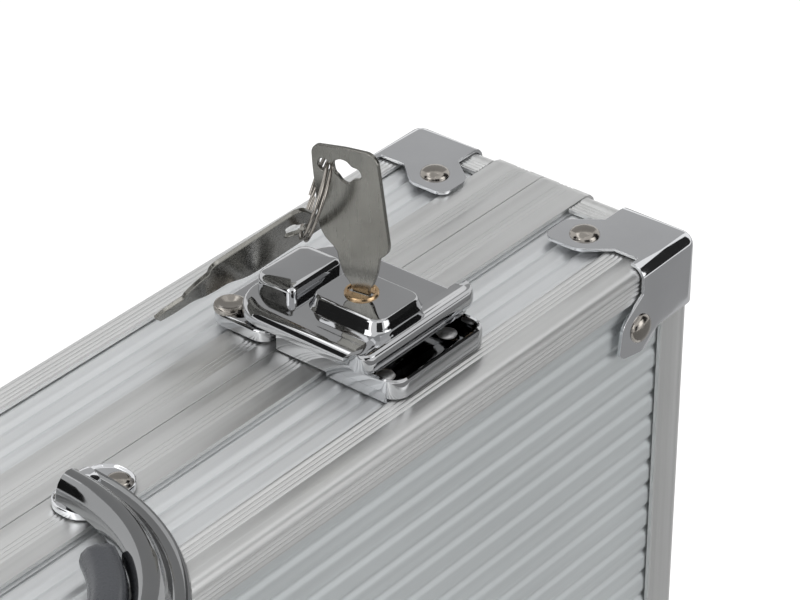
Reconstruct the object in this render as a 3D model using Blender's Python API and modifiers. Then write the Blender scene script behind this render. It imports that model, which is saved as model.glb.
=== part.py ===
# Poker chip case: ribbed aluminium panels held in ridged extrusions, chromed corners and
# latches, a folding handle, a key in one lock with a spare on its ring, and a foam chip tray.
# The case stands on its hinge side: +X runs along the case, +Y from the base to the lid,
# and +Z towards the front, which carries the latches and the handle.

import math

import bmesh
import bpy
from mathutils import Matrix, Vector

# Driving sizes of the case, in metres
CASE_LENGTH = 0.385
CASE_HEIGHT = 0.205
CASE_DEPTH = 0.068
SEAM_SHARE = 0.53235
FOOT_HEIGHT = 0.0055
FLAT_ANGLE = 0.0006
SMOOTH_ANGLE = math.radians(30)
FIT = 0.0003
WELD = 0.000001

# Sheet metal caps over the corners
CAP_SHEET = 0.0007
CAP_STEP = CAP_SHEET + FIT
CAP_EDGE = 0.003
CAP_REACH = 0.028
CAP_SKIRT = 0.0032
CAP_FRONT_OUTLINE = ((0.0156, 0.0087), (0.0201, 0.0139), (0.0201, 0.0207), (0.0186, 0.0222),
                     (0.0126, 0.0222), (0.008, 0.0162))
CAP_NEAR_OUTLINE = ((0.0178, 0.0058), (0.0241, 0.01), (0.0249, 0.016), (0.0236, 0.0172),
                    (0.0171, 0.0185), (0.0126, 0.015))
CAP_END_OUTLINE = ((0.0162, 0.0082), (0.0195, 0.0125), (0.0195, 0.0175), (0.018, 0.019),
                   (0.0135, 0.019), (0.0095, 0.015))
CAP_FRONT_RIVET = (0.015, 0.016, 0)
CAP_NEAR_RIVET = (0.0186, 0, 0.0127)
CAP_END_RIVET = (0, 0.0148, 0.0138)

# Extruded profiles
WALL = 0.0008
SLOT = 0.003
CORE = WALL + SLOT + WALL
LIP = 0.003
LONG_LEG = 0.0091
SHORT_LEG = 0.0061
FOLD = 0.0018
RING_CORNER = 0.0025
INNER_CORNER = 0.0003
RIDGE_PITCH = 0.0009
RIDGE_DEPTH = 0.0003
RIDGE_EDGE = 0.0005
EDGE_RIDGES = 4
CLOSURE_WIDTH = 0.011
CLOSURE_GRIP = 0.005
CLOSURE_CORNER = 0.003
CLOSURE_PROUD = 0.002
CLOSURE_RIDGES = 4
CLOSURE_RIDGE_START = 0.0034
SEAM_GAP = 0.0003
GROOVE_START = 0.0016
GROOVE_WIDTH = 0.0014
GROOVE_DEPTH = 0.0016
TONGUE_HEIGHT = 0.0012
ANGLE_LEG = 0.007
ANGLE_RIDGES = 4

# Ribbed panels
RIB = 0.0006
RIB_PITCH = 0.0053
RIB_CREST_START_SHARE = 0.25
RIB_CREST_END_SHARE = 0.75
PANEL_NOTCH = 0.0026

# Rivets
RIVET_RADIUS = 0.003
RIVET_HEIGHT = 0.0015
RIVET_SHOULDER_SHARE = 0.8
RIVET_SHOULDER_HEIGHT_SHARE = 0.6
SMALL_RIVET_RADIUS = 0.0019
SMALL_RIVET_HEIGHT = 0.0008
ROUND_STEPS = 12

# Latches, drawn with the seam at this depth and moved along with it
DRAWN_SEAM = 0.0362
LATCH_FROM_END = 0.0675
KEEPER_WIDTH = 0.0264
KEEPER_NEAR = 0.0082
KEEPER_FAR = 0.0359
KEEPER_TOP = 0.003
KEEPER_FLOOR = 0.0002
KEEPER_WALL = 0.0009
KEEPER_CORNER = 0.0035
KEEPER_SKIRT_NEAR = 0.0105
KEEPER_SKIRT_FAR = 0.0248
KEEPER_SKIRT_LOW = 0.0018
KEEPER_RIVET_X = 0.0088
KEEPER_RIVET_Y = 0.0145
PLATE_WIDTH = 0.027
PLATE_NEAR = 0.0378
PLATE_FAR = 0.0523
PLATE_TOP = 0.0017
PLATE_CORNER = 0.0035
PLATE_RIVET_X = 0.0104
PLATE_RIVET_Y = 0.0492
PLATE_RIVET_RADIUS = 0.0027
PLATE_RIVET_HEIGHT = 0.0012
KNUCKLE_HALF = 0.004
KNUCKLE_RADIUS = 0.0019
KNUCKLE_Y = 0.045
KNUCKLE_Z = 0.0042
PEDESTAL_HALF = 0.0013
LATCH_PIN_RADIUS = 0.0008
LATCH_PIN_INSET = 0.0005
LEVER_HALF = 0.0147
LEVER_NEAR = 0.0131
LEVER_TAIL = 0.002
LEVER_LOW = 0.0034
LEVER_TOP = 0.0062
LEVER_SKIN = 0.001
LEVER_WALL = 0.0012
LEVER_FAR_CORNER = 0.008
LEVER_NEAR_CORNER = 0.003
LEVER_ROLL = 0.0014
LIP_HALF = 0.0157
LIP_NEAR = 0.0127
LIP_FAR = 0.0185
LIP_LOW = 0.0042
LIP_TOP = 0.0066
LIP_CORNER = 0.0025
LIP_ROLL = 0.0009
HOUSING_HALF = 0.0068
HOUSING_NEAR = 0.0179
HOUSING_FAR = 0.0348
HOUSING_TOP = 0.0084
HOUSING_CORNER = 0.0012
HOUSING_SLOPE = 0.0013
NOSE_HALF = 0.007
NOSE_NEAR = 0.0377
NOSE_FAR = 0.0467
NOSE_TOP = 0.0086
NOSE_CORNER = 0.003
NOSE_ROLL = 0.0009
HOOK_HALF = 0.003
HOOK_NEAR = 0.0205
HOOK_FAR = 0.0218
HOOK_LOW = 0.0022

# Locks
LOCK_Y = 0.027
LOCK_RADIUS = 0.0032
LOCK_LOW = 0.0005
LOCK_TOP = 0.0089
CAM_THICK = 0.0013
CAM_WIDTH = 0.0044
CAM_REACH = 0.0085
CAM_BACK = 0.0022
KEYWAY_HALF = 0.0026
KEYWAY_FLOOR = 0.0026

# Keys and ring
KEY_THICK = 0.0009
KEY_TIP_DEPTH = 0.006
KEY_TIP_HALF = 0.0011
KEY_TAPER = 0.0026
KEY_BLADE_HALF = 0.0017
KEY_SHOULDER = 0.0009
KEY_NECK_HALF = 0.0024
KEY_NECK_TOP = 0.007
KEY_NECK_TOP_HALF = 0.0041
KEY_FLARE_STEPS = 4
KEY_LONG_FLARE = 0.006
KEY_SHORT_FLARE = 0.003
KEY_HEAD_HALF = 0.007
KEY_HEAD_TOP = 0.0286
KEY_CLIP = 0.0014
KEY_HOLE_SIDE = 0.0033
KEY_HOLE_HEIGHT = 0.0246
KEY_HOLE_RADIUS = 0.0017
KEY_LOBES = ((-0.0004, 0.0242, 0.0019), (0.0017, 0.0236, 0.0015), (-0.0002, 0.0229, 0.0014))
KEY_BEARING = math.radians(9)
KEY_LEAN = math.radians(7)
RING_WIRE = 0.0006
RING_DROP = Vector((-0.0012, 0.0053, -0.0148))
RING_TWIST = math.radians(-26)
RING_STEPS = 32
RING_WIRE_STEPS = 6
SPARE_TIP = Vector((0.1012, 0.0546, 0.0037))
SPARE_FACE = Vector((-0.2477, -0.8091, -0.533))

# Handle
PIVOT_X = 0.0569
PIVOT_Y = 0.0307
PIVOT_Z = 0.0026
BAIL_WIDTH = 0.01
BAIL_RADIUS = 0.0445
BAIL_ARC_Y = 0.033
BAIL_LOW = 0.0005
BAIL_TOP = 0.0064
BAIL_WALL = 0.0009
BAIL_ROLL = 0.0016
BAIL_TAIL = 0.002
BAIL_HEEL = 0.0015
BAIL_ARC_STEPS = 9
BAIL_PIN = 0.0013
LOOP_HALF = 0.0019
LOOP_RADIUS = 0.0024
LOOP_HOLE = 0.0016
LOOP_NECK = 0.0013
BRACKET_INNER_X = 0.0513
BRACKET_OUTER_X = 0.0669
BRACKET_NEAR = 0.0256
BRACKET_FAR = 0.0356
BRACKET_TOP = 0.0002
BRACKET_CORNER = 0.0022
BRACKET_RIVET_X = 0.0643
BRACKET_RIVET_Y = 0.0281
GRIP_LOW = 0.0008
GRIP_TOP = 0.0052
GRIP_ANGLE = math.radians(20)

# Case hinges
HINGE_LENGTH = 0.04
HINGE_REACH = 0.011
HINGE_SHEET = 0.0012
HINGE_RADIUS = 0.0022
HINGE_PIN = 0.001
HINGE_KNUCKLE = 0.0144
HINGE_RIVET_PITCH = 0.0135
HINGE_RIVET_REACH = 0.007

# Feet
FOOT_FROM_END = 0.0325
FOOT_RADIUS = 0.006
FOOT_CHAMFER = 0.001

# Foam inside
TRAY_FIT = 0.0002
TRAY_BELOW_SEAM = 0.005
CHIP_RADIUS = 0.0203
CHIP_STACK = 0.168
CHIP_PITCH = 0.0428
CHIP_ROWS = 3
TRAY_RIM = 0.0056
CARD_WIDTH = 0.092
CARD_HEIGHT = 0.066
CARD_DEPTH = 0.022
DICE_WIDTH = 0.08
DICE_HEIGHT = 0.017
DICE_DEPTH = 0.017
WELL_RIB = 0.005
PAD_THICK = 0.0105

SEAM_DEPTH = CASE_DEPTH * SEAM_SHARE
SEAM_SHIFT = Vector((0, SEAM_DEPTH - DRAWN_SEAM, 0))
TRAY_FRONT = SEAM_DEPTH - TRAY_BELOW_SEAM
LATCH_X = CASE_LENGTH / 2 - LATCH_FROM_END
FOOT_X = CASE_LENGTH / 2 - FOOT_FROM_END

# The outline runs from the folded handle's bow to the lid caps' rivets, and Y is zero halfway
HANDLE_BOW = BAIL_ARC_Y - BAIL_RADIUS - BAIL_WIDTH / 2
MID_DEPTH = (CASE_DEPTH + RIVET_HEIGHT + HANDLE_BOW) / 2
TOP = FOOT_HEIGHT + CASE_HEIGHT

# Case space: x along the case, y from the near caps' face to the lid, z up from the front caps
CASE_PLACE = Matrix.Translation((0, -MID_DEPTH, TOP))
MIDDLE_Z = -CASE_HEIGHT / 2
SHELL_HALF_X = CASE_LENGTH / 2 - CAP_STEP
SHELL_HALF_Z = CASE_HEIGHT / 2 - CAP_STEP

RIGHT = Vector((1, 0, 0))
AWAY = Vector((0, 1, 0))
UP = Vector((0, 0, 1))
FACE_UP = Matrix.Identity(4)
FACE_NEAR = Matrix(((1, 0, 0, 0), (0, 0, -1, 0), (0, 1, 0, 0), (0, 0, 0, 1)))
FACE_END = Matrix(((0, 0, 1, 0), (1, 0, 0, 0), (0, 1, 0, 0), (0, 0, 0, 1)))


def start_scene():
    for old in list(bpy.data.objects):
        bpy.data.objects.remove(old)
    parts = bpy.data.collections.new("poker_chip_case")
    bpy.context.scene.collection.children.link(parts)
    return parts


PARTS = start_scene()


def material(name, colour, roughness, metallic):
    made = bpy.data.materials.new(name)
    made.use_nodes = True
    surface = made.node_tree.nodes["Principled BSDF"]
    surface.inputs["Base Color"].default_value = (*colour, 1)
    surface.inputs["Roughness"].default_value = roughness
    surface.inputs["Metallic"].default_value = metallic
    return made


def one_material_each(name, kind):
    colour, roughness, metallic = FINISHES[kind]
    return material(name + "_" + kind, colour, roughness, metallic)


FINISHES = {
    "panel": ((0.55, 0.57, 0.59), 0.45, 1),
    "extrusion": ((0.62, 0.63, 0.62), 0.35, 1),
    "chrome": ((0.8, 0.8, 0.82), 0.08, 1),
    "nickel": ((0.68, 0.64, 0.58), 0.25, 1),
    "brass": ((0.72, 0.5, 0.25), 0.3, 1),
    "plastic": ((0.03, 0.03, 0.035), 0.5, 0),
    "rubber": ((0.02, 0.02, 0.02), 0.8, 0),
    "foam": ((0.025, 0.025, 0.03), 0.95, 0),
}


def object_from(shape):
    bmesh.ops.recalc_face_normals(shape, faces=shape.faces)
    if shape.calc_volume(signed=True) < 0:
        bmesh.ops.reverse_faces(shape, faces=shape.faces)
    mesh = bpy.data.meshes.new("shape")
    shape.to_mesh(mesh)
    shape.free()
    made = bpy.data.objects.new("shape", mesh)
    PARTS.objects.link(made)
    return made


def settle(body):
    # Keeps the evaluated shape, in case space, as a plain welded mesh
    bpy.context.view_layer.update()
    evaluated = body.evaluated_get(bpy.context.evaluated_depsgraph_get())
    mesh = bpy.data.meshes.new_from_object(evaluated)
    mesh.transform(body.matrix_world)
    bpy.data.objects.remove(body)
    shape = bmesh.new()
    shape.from_mesh(mesh)
    bpy.data.meshes.remove(mesh)
    bmesh.ops.remove_doubles(shape, verts=shape.verts, dist=WELD)
    return object_from(shape)


def combine(body, tools, operation):
    for tool in tools:
        change = body.modifiers.new("change", "BOOLEAN")
        change.operation = operation
        change.object = tool
    made = settle(body)
    for tool in tools:
        bpy.data.objects.remove(tool)
    return made


def join(body, *others):
    return combine(body, others, "UNION")


def cut(body, *cutters):
    return combine(body, cutters, "DIFFERENCE")


def finish(body, name, kind, pivot=None):
    # Names the piece and puts its origin on its joint's axis
    body.name = name
    body.data.name = name
    origin = CASE_PLACE @ (pivot or Vector())
    body.data.transform(Matrix.Translation(-origin) @ CASE_PLACE)
    body.location = origin
    body.data.materials.clear()
    body.data.materials.append(one_material_each(name, kind))
    body.data.shade_smooth()
    body.data.set_sharp_from_angle(angle=SMOOTH_ANGLE)
    return body


def moved_copy(body, place):
    shape = bmesh.new()
    shape.from_mesh(body.data)
    shape.transform(place)
    return object_from(shape)


def box(low, high):
    shape = bmesh.new()
    bmesh.ops.create_cube(shape, size=1)
    low, high = Vector(low), Vector(high)
    stretch = Matrix.Diagonal((*(high - low), 1))
    shape.transform(Matrix.Translation((low + high) / 2) @ stretch)
    return object_from(shape)


def rod(centre, direction, radius, length, steps=ROUND_STEPS):
    shape = bmesh.new()
    bmesh.ops.create_cone(shape, cap_ends=True, segments=steps,
                          radius1=radius, radius2=radius, depth=length)
    turn = Vector(direction).to_track_quat("Z", "Y").to_matrix().to_4x4()
    shape.transform(Matrix.Translation(centre) @ turn)
    return object_from(shape)


def turned(profile, centre, direction=UP, steps=ROUND_STEPS):
    # A profile of (radius, height) points, top first, turned about its axis
    mesh = bpy.data.meshes.new("profile")
    points = [(radius, 0, height) for radius, height in profile]
    mesh.from_pydata(points, [(i, i + 1) for i in range(len(points) - 1)], [])
    body = bpy.data.objects.new("profile", mesh)
    PARTS.objects.link(body)
    spin = body.modifiers.new("spin", "SCREW")
    spin.steps = steps
    spin.render_steps = steps
    spin.use_merge_vertices = True
    spin.merge_threshold = WELD
    turn = Vector(direction).to_track_quat("Z", "Y").to_matrix().to_4x4()
    body.matrix_world = Matrix.Translation(centre) @ turn
    return settle(body)


def slab(outline, low, high, facing=FACE_UP):
    # A flat outline filled and given a thickness from low to high along its facing
    curve = bpy.data.curves.new("outline", "CURVE")
    curve.dimensions = "2D"
    curve.fill_mode = "BOTH"
    curve.extrude = (high - low) / 2
    spline = curve.splines.new("POLY")
    spline.points.add(len(outline) - 1)
    for point, (across, along) in zip(spline.points, outline):
        point.co = (across, along, 0, 1)
    spline.use_cyclic_u = True
    body = bpy.data.objects.new("outline", curve)
    PARTS.objects.link(body)
    body.matrix_world = facing @ Matrix.Translation((0, 0, (low + high) / 2))
    return settle(body)


def slab_across(outline, near, far):
    # An outline of (x, z) points, from near to far along y
    return slab(outline, -far, -near, FACE_NEAR)


def slab_along(outline, left, right):
    # An outline of (y, z) points, from left to right along x
    return slab(outline, left, right, FACE_END)


def rounded(corners, steps=4):
    # Rounds each corner (x, y, radius) of an outline with an arc
    outline = []
    count = len(corners)
    for i, (x, y, radius) in enumerate(corners):
        corner = Vector((x, y))
        if not radius:
            outline.append(tuple(corner))
            continue
        before = (Vector(corners[i - 1][:2]) - corner).normalized()
        after = (Vector(corners[(i + 1) % count][:2]) - corner).normalized()
        half = before.angle(after) / 2
        middle = corner + (before + after).normalized() * radius / math.sin(half)
        start = corner + before * radius / math.tan(half) - middle
        end = corner + after * radius / math.tan(half) - middle
        sweep = math.pi - 2 * half
        if start.x * end.y - start.y * end.x < 0:
            sweep = -sweep
        for step in range(steps + 1):
            turn = Matrix.Rotation(sweep * step / steps, 2)
            outline.append(tuple(middle + turn @ start))
    return outline


def rounded_box_outline(left, right, near, far, near_radius, far_radius):
    return rounded([(left, near, near_radius), (right, near, near_radius),
                    (right, far, far_radius), (left, far, far_radius)])


def soften(body, chosen, width, segments=2):
    # Rounds the edges whose two ends both pass the test
    shape = bmesh.new()
    shape.from_mesh(body.data)
    edges = [edge for edge in shape.edges
             if all(chosen(vert.co) for vert in edge.verts) and edge.calc_face_angle(0) > FLAT_ANGLE]
    bmesh.ops.bevel(shape, geom=edges, offset=width, offset_type="OFFSET",
                    segments=segments, profile=0.5, affect="EDGES", clamp_overlap=True)
    bmesh.ops.remove_doubles(shape, verts=shape.verts, dist=WELD)
    bpy.data.objects.remove(body)
    return object_from(shape)


def soften_top(body, top, width, segments=2):
    return soften(body, lambda spot: abs(spot.z - top) < WELD, width, segments)


def rivet(centre, direction, radius=RIVET_RADIUS, height=RIVET_HEIGHT, sink=CAP_SHEET / 2):
    shoulder = radius * RIVET_SHOULDER_SHARE
    profile = [(0, height), (shoulder / 2, height * (1 + RIVET_SHOULDER_SHARE) / 2),
               (shoulder, height * RIVET_SHOULDER_HEIGHT_SHARE), (radius, 0),
               (radius, -sink), (0, -sink)]
    return turned(profile, centre, direction)


def ridges(start, count, pitch=RIDGE_PITCH):
    # Peaks at the surface and valleys under it, as (place, depth)
    points = []
    for i in range(count):
        points.append((start + i * pitch, 0))
        points.append((start + (i + 1 / 2) * pitch, RIDGE_DEPTH))
    points.append((start + count * pitch, 0))
    return points


def fold_arc(steps=3):
    # The rounded fold from the perimeter face to the broad face, as (inward, deep)
    points = []
    for step in range(steps + 1):
        turn = math.pi / 2 * step / steps
        points.append((FOLD * (1 - math.cos(turn)), FOLD * (1 - math.sin(turn))))
    return points


def edge_section(face_leg, side_leg):
    # The edge extrusion's cut as (inward from the perimeter, deep from the broad face)
    grip = WALL + SLOT
    ridged = RIDGE_EDGE + EDGE_RIDGES * RIDGE_PITCH
    section = fold_arc()
    section += ridges(face_leg - ridged, EDGE_RIDGES)
    section += [(face_leg, 0), (face_leg, WALL), (CORE, WALL), (CORE, grip)]
    section += [(CORE + LIP, grip), (CORE + LIP, CORE), (CORE, CORE), (CORE, CORE + LIP)]
    section += [(grip, CORE + LIP), (grip, CORE), (WALL, CORE), (WALL, side_leg)]
    section += [(0, side_leg)]
    section += [(depth, place) for place, depth in
                reversed(ridges(side_leg - ridged, EDGE_RIDGES))]
    return section


def closure_section(proud, seam_part):
    # The closure's cut as (inward from its own face, distance from the seam)
    grip_start = proud + WALL
    grip_end = grip_start + SLOT
    back = grip_end + WALL
    grip_floor = CLOSURE_WIDTH - CLOSURE_GRIP
    face = SEAM_GAP / 2
    section = [(depth, place) for place, depth in ridges(CLOSURE_RIDGE_START, CLOSURE_RIDGES)]
    section += [(0, CLOSURE_WIDTH), (grip_start, CLOSURE_WIDTH), (grip_start, grip_floor)]
    section += [(grip_end, grip_floor), (grip_end, CLOSURE_WIDTH), (back, CLOSURE_WIDTH)]
    section += [(back, face)]
    section += [(proud + inward, away) for inward, away in seam_part]
    section += [(0, face)]
    return section


def groove():
    face = SEAM_GAP / 2
    end = GROOVE_START + GROOVE_WIDTH
    floor = face + GROOVE_DEPTH
    return [(end, face), (end, floor), (GROOVE_START, floor), (GROOVE_START, face)]


def tongue():
    face = SEAM_GAP / 2
    start = GROOVE_START + FIT
    end = GROOVE_START + GROOVE_WIDTH - FIT
    tip = face - TONGUE_HEIGHT
    return [(end, face), (end, tip), (start, tip), (start, face)]


def ring(end_section, long_section, half_x, half_z, corner, to_y, steps=3):
    # One profile carried round the case, with its own legs at the ends and the long sides
    shape = bmesh.new()
    stations = []
    for side_x, side_z, quarter in ((1, 1, 1), (-1, 1, -1), (-1, -1, 1), (1, -1, -1)):
        shares = [step / steps for step in range(steps + 1)]
        if quarter < 0:
            shares.reverse()
        for share in shares:
            turn = math.pi / 2 * share
            verts = []
            for (end_in, end_deep), (long_in, long_deep) in zip(end_section, long_section):
                radius = max(corner - min(end_in, long_in), INNER_CORNER)
                x = half_x - end_in - radius + radius * math.cos(turn)
                z = half_z - long_in - radius + radius * math.sin(turn)
                deep = end_deep + (long_deep - end_deep) * share
                place = (side_x * x, to_y(deep), MIDDLE_Z + side_z * z)
                verts.append(shape.verts.new(place))
            stations.append(verts)
    for first, second in zip(stations, stations[1:] + stations[:1]):
        for i in range(len(first)):
            shape.faces.new((first[i - 1], first[i], second[i], second[i - 1]))
    return object_from(shape)


def ribbed_outline(length, face, inner, count=None):
    # A ribbed sheet cut across its ribs, as (along, depth), with its crests at face
    ribs = count or round(length / RIB_PITCH)
    pitch = length / ribs
    outline = []
    for i in range(ribs):
        start = -length / 2 + i * pitch
        outline += [(start, face + RIB), (start + RIB_CREST_START_SHARE * pitch, face),
                    (start + RIB_CREST_END_SHARE * pitch, face)]
    outline += [(length / 2, face + RIB), (length / 2, inner), (-length / 2, inner)]
    return outline


class Half:
    # Where the base or the lid lies: depth is counted in from its own broad face
    def __init__(self, name, outer, inward, closure_y, end_legs, long_legs, seam_part):
        self.name = name
        self.outer = outer
        self.inward = inward
        self.closure_y = closure_y
        self.end_legs = end_legs
        self.long_legs = long_legs
        self.seam_part = seam_part

    def y(self, deep):
        return self.outer + self.inward * deep

    def seam_y(self, away):
        return SEAM_DEPTH - self.inward * away


BASE = Half("base", CAP_STEP, 1, SEAM_DEPTH - CLOSURE_WIDTH,
            (LONG_LEG, SHORT_LEG), (SHORT_LEG, LONG_LEG), groove())
LID = Half("lid", CASE_DEPTH - CAP_STEP, -1, SEAM_DEPTH + CLOSURE_WIDTH,
           (SHORT_LEG, LONG_LEG), (LONG_LEG, SHORT_LEG), tongue())
HALVES = (BASE, LID)
PANEL_FACE = WALL + FIT
PANEL_BACK = WALL + SLOT - FIT


def depth_to_closure(half):
    return abs(half.closure_y - half.outer)


def make_edge_frame(half):
    body = ring(edge_section(*half.end_legs), edge_section(*half.long_legs),
                SHELL_HALF_X, SHELL_HALF_Z, RING_CORNER, half.y)
    finish(body, half.name + "_edge_frame", "extrusion")


def make_closure(half):
    body = ring(closure_section(CLOSURE_PROUD, half.seam_part),
                closure_section(0, half.seam_part),
                SHELL_HALF_X + CLOSURE_PROUD, SHELL_HALF_Z, CLOSURE_CORNER, half.seam_y)
    finish(body, half.name + "_closure_frame", "extrusion")


def make_main_panel(half):
    height = 2 * (SHELL_HALF_Z - CORE - FIT)
    reach = SHELL_HALF_X - CORE - FIT
    outline = [(half.y(depth), MIDDLE_Z + along)
               for along, depth in ribbed_outline(height, PANEL_FACE, PANEL_BACK)]
    finish(slab_along(outline, -reach, reach), half.name + "_main_panel", "panel")


def make_side_panels(half):
    # The strips between the edge frame and the closure frame on the four narrow sides
    near = CORE + FIT
    far = depth_to_closure(half) + CLOSURE_GRIP - FIT
    middle = (near + far) / 2
    ribs = round((far - near) / RIB_PITCH)
    strip = ribbed_outline(far - near, PANEL_FACE, PANEL_BACK, ribs)
    reach = SHELL_HALF_X - PANEL_NOTCH
    for name, side in (("front", 1), ("rear", -1)):
        outline = [(half.y(middle + along), MIDDLE_Z + side * (SHELL_HALF_Z - depth))
                   for along, depth in strip]
        finish(slab_along(outline, -reach, reach), half.name + "_" + name + "_panel", "panel")
    reach = SHELL_HALF_Z - PANEL_BACK - FIT
    for name, side in (("right", 1), ("left", -1)):
        outline = [(side * (SHELL_HALF_X - depth), half.y(middle + along))
                   for along, depth in strip]
        body = slab(outline, MIDDLE_Z - reach, MIDDLE_Z + reach)
        finish(body, half.name + "_" + name + "_panel", "panel")


def corner_angle_shape(half):
    # The upright angle over the panels' ends, measured in from the case's corner
    near = max(half.end_legs[1], half.long_legs[1]) + PANEL_FACE
    far = depth_to_closure(half) - FIT
    ridged = RIDGE_EDGE + ANGLE_RIDGES * RIDGE_PITCH
    leg = ridges(ANGLE_LEG - ridged, ANGLE_RIDGES)
    outline = fold_arc()
    outline += leg + [(ANGLE_LEG, 0), (ANGLE_LEG, WALL), (WALL, WALL), (WALL, ANGLE_LEG)]
    outline += [(0, ANGLE_LEG)] + [(depth, place) for place, depth in reversed(leg)]
    shifted = [(CAP_STEP + a, CAP_STEP + b) for a, b in outline]
    return slab_across(shifted, CAP_STEP + near, CAP_STEP + far)


def cap_outline(tab):
    # A tab's edge closed past the case's corner, so that it takes in the rounded edges
    first, last = tab[0], tab[-1]
    return [(-CAP_EDGE, -CAP_EDGE), (first[0], -CAP_EDGE), *tab, (-CAP_EDGE, last[1])]


def corner_cap_shape():
    # A stamped corner, measured in from the case's corner, with a riveted tab on each face
    def corner_block(inset):
        body = box((inset, inset, inset), (CAP_REACH, CAP_REACH, CAP_REACH + inset))
        return soften(body, lambda spot: sum(abs(c - inset) < WELD for c in spot) >= 2,
                      CAP_EDGE - inset)

    shell = cut(corner_block(0), corner_block(CAP_SHEET))
    front = slab(cap_outline(CAP_FRONT_OUTLINE), -CAP_EDGE, CAP_SKIRT)
    near = slab_across(cap_outline(CAP_NEAR_OUTLINE), -CAP_EDGE, CAP_SKIRT)
    end = slab_along(cap_outline(CAP_END_OUTLINE), -CAP_EDGE, CAP_SKIRT)
    shape = combine(shell, [join(front, near, end)], "INTERSECT")
    return join(shape, rivet(CAP_FRONT_RIVET, -UP), rivet(CAP_NEAR_RIVET, -AWAY),
                rivet(CAP_END_RIVET, -RIGHT))


def make_corners():
    cap = corner_cap_shape()
    for half in HALVES:
        angle = corner_angle_shape(half)
        for level, side_z in (("front", 1), ("rear", -1)):
            for end, side_x in (("right", 1), ("left", -1)):
                corner = Vector((side_x * CASE_LENGTH / 2, half.outer - half.inward * CAP_STEP,
                                 MIDDLE_Z + side_z * CASE_HEIGHT / 2))
                flip = Matrix.Diagonal((-side_x, half.inward, -side_z, 1))
                place = Matrix.Translation(corner) @ flip
                name = "_".join((half.name, level, end))
                finish(moved_copy(angle, place), name + "_angle", "extrusion")
                finish(moved_copy(cap, place), name + "_cap", "chrome")
        bpy.data.objects.remove(angle)
    bpy.data.objects.remove(cap)


def keeper_shape():
    # The open box on the base that takes the lock's cam and the lever's hook
    half = KEEPER_WIDTH / 2
    body = slab(rounded_box_outline(-half, half, KEEPER_NEAR, KEEPER_FAR, KEEPER_CORNER, 0),
                -CAP_SHEET, KEEPER_TOP)
    inner = half - KEEPER_WALL
    room = slab(rounded_box_outline(-inner, inner, KEEPER_NEAR + KEEPER_WALL,
                                    KEEPER_FAR + KEEPER_WALL, KEEPER_CORNER - KEEPER_WALL, 0),
                KEEPER_FLOOR, KEEPER_TOP + KEEPER_WALL)
    skirt = box((-half, KEEPER_SKIRT_NEAR, -KEEPER_SKIRT_LOW), (half, KEEPER_SKIRT_FAR, 0))
    heads = [rivet((side * KEEPER_RIVET_X, KEEPER_RIVET_Y, KEEPER_FLOOR), UP,
                   SMALL_RIVET_RADIUS, SMALL_RIVET_HEIGHT) for side in (-1, 1)]
    return join(cut(join(body, skirt), room), *heads)


def hinge_plate_shape():
    # The riveted plate on the lid, with the knuckle that the lever turns on
    half = PLATE_WIDTH / 2
    body = slab(rounded_box_outline(-half, half, PLATE_NEAR, PLATE_FAR,
                                    PLATE_CORNER, PLATE_CORNER), -CAP_SHEET, PLATE_TOP)
    pedestal = box((-KNUCKLE_HALF, KNUCKLE_Y - PEDESTAL_HALF, 0),
                   (KNUCKLE_HALF, KNUCKLE_Y + PEDESTAL_HALF, KNUCKLE_Z))
    knuckle = rod((0, KNUCKLE_Y, KNUCKLE_Z), RIGHT, KNUCKLE_RADIUS, 2 * KNUCKLE_HALF)
    heads = [rivet((side * PLATE_RIVET_X, PLATE_RIVET_Y, PLATE_TOP), UP,
                   PLATE_RIVET_RADIUS, PLATE_RIVET_HEIGHT) for side in (-1, 1)]
    bore = rod((0, KNUCKLE_Y, KNUCKLE_Z), RIGHT, LATCH_PIN_RADIUS + FIT, 3 * KNUCKLE_HALF)
    return cut(join(body, pedestal, knuckle, *heads), bore)


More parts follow.
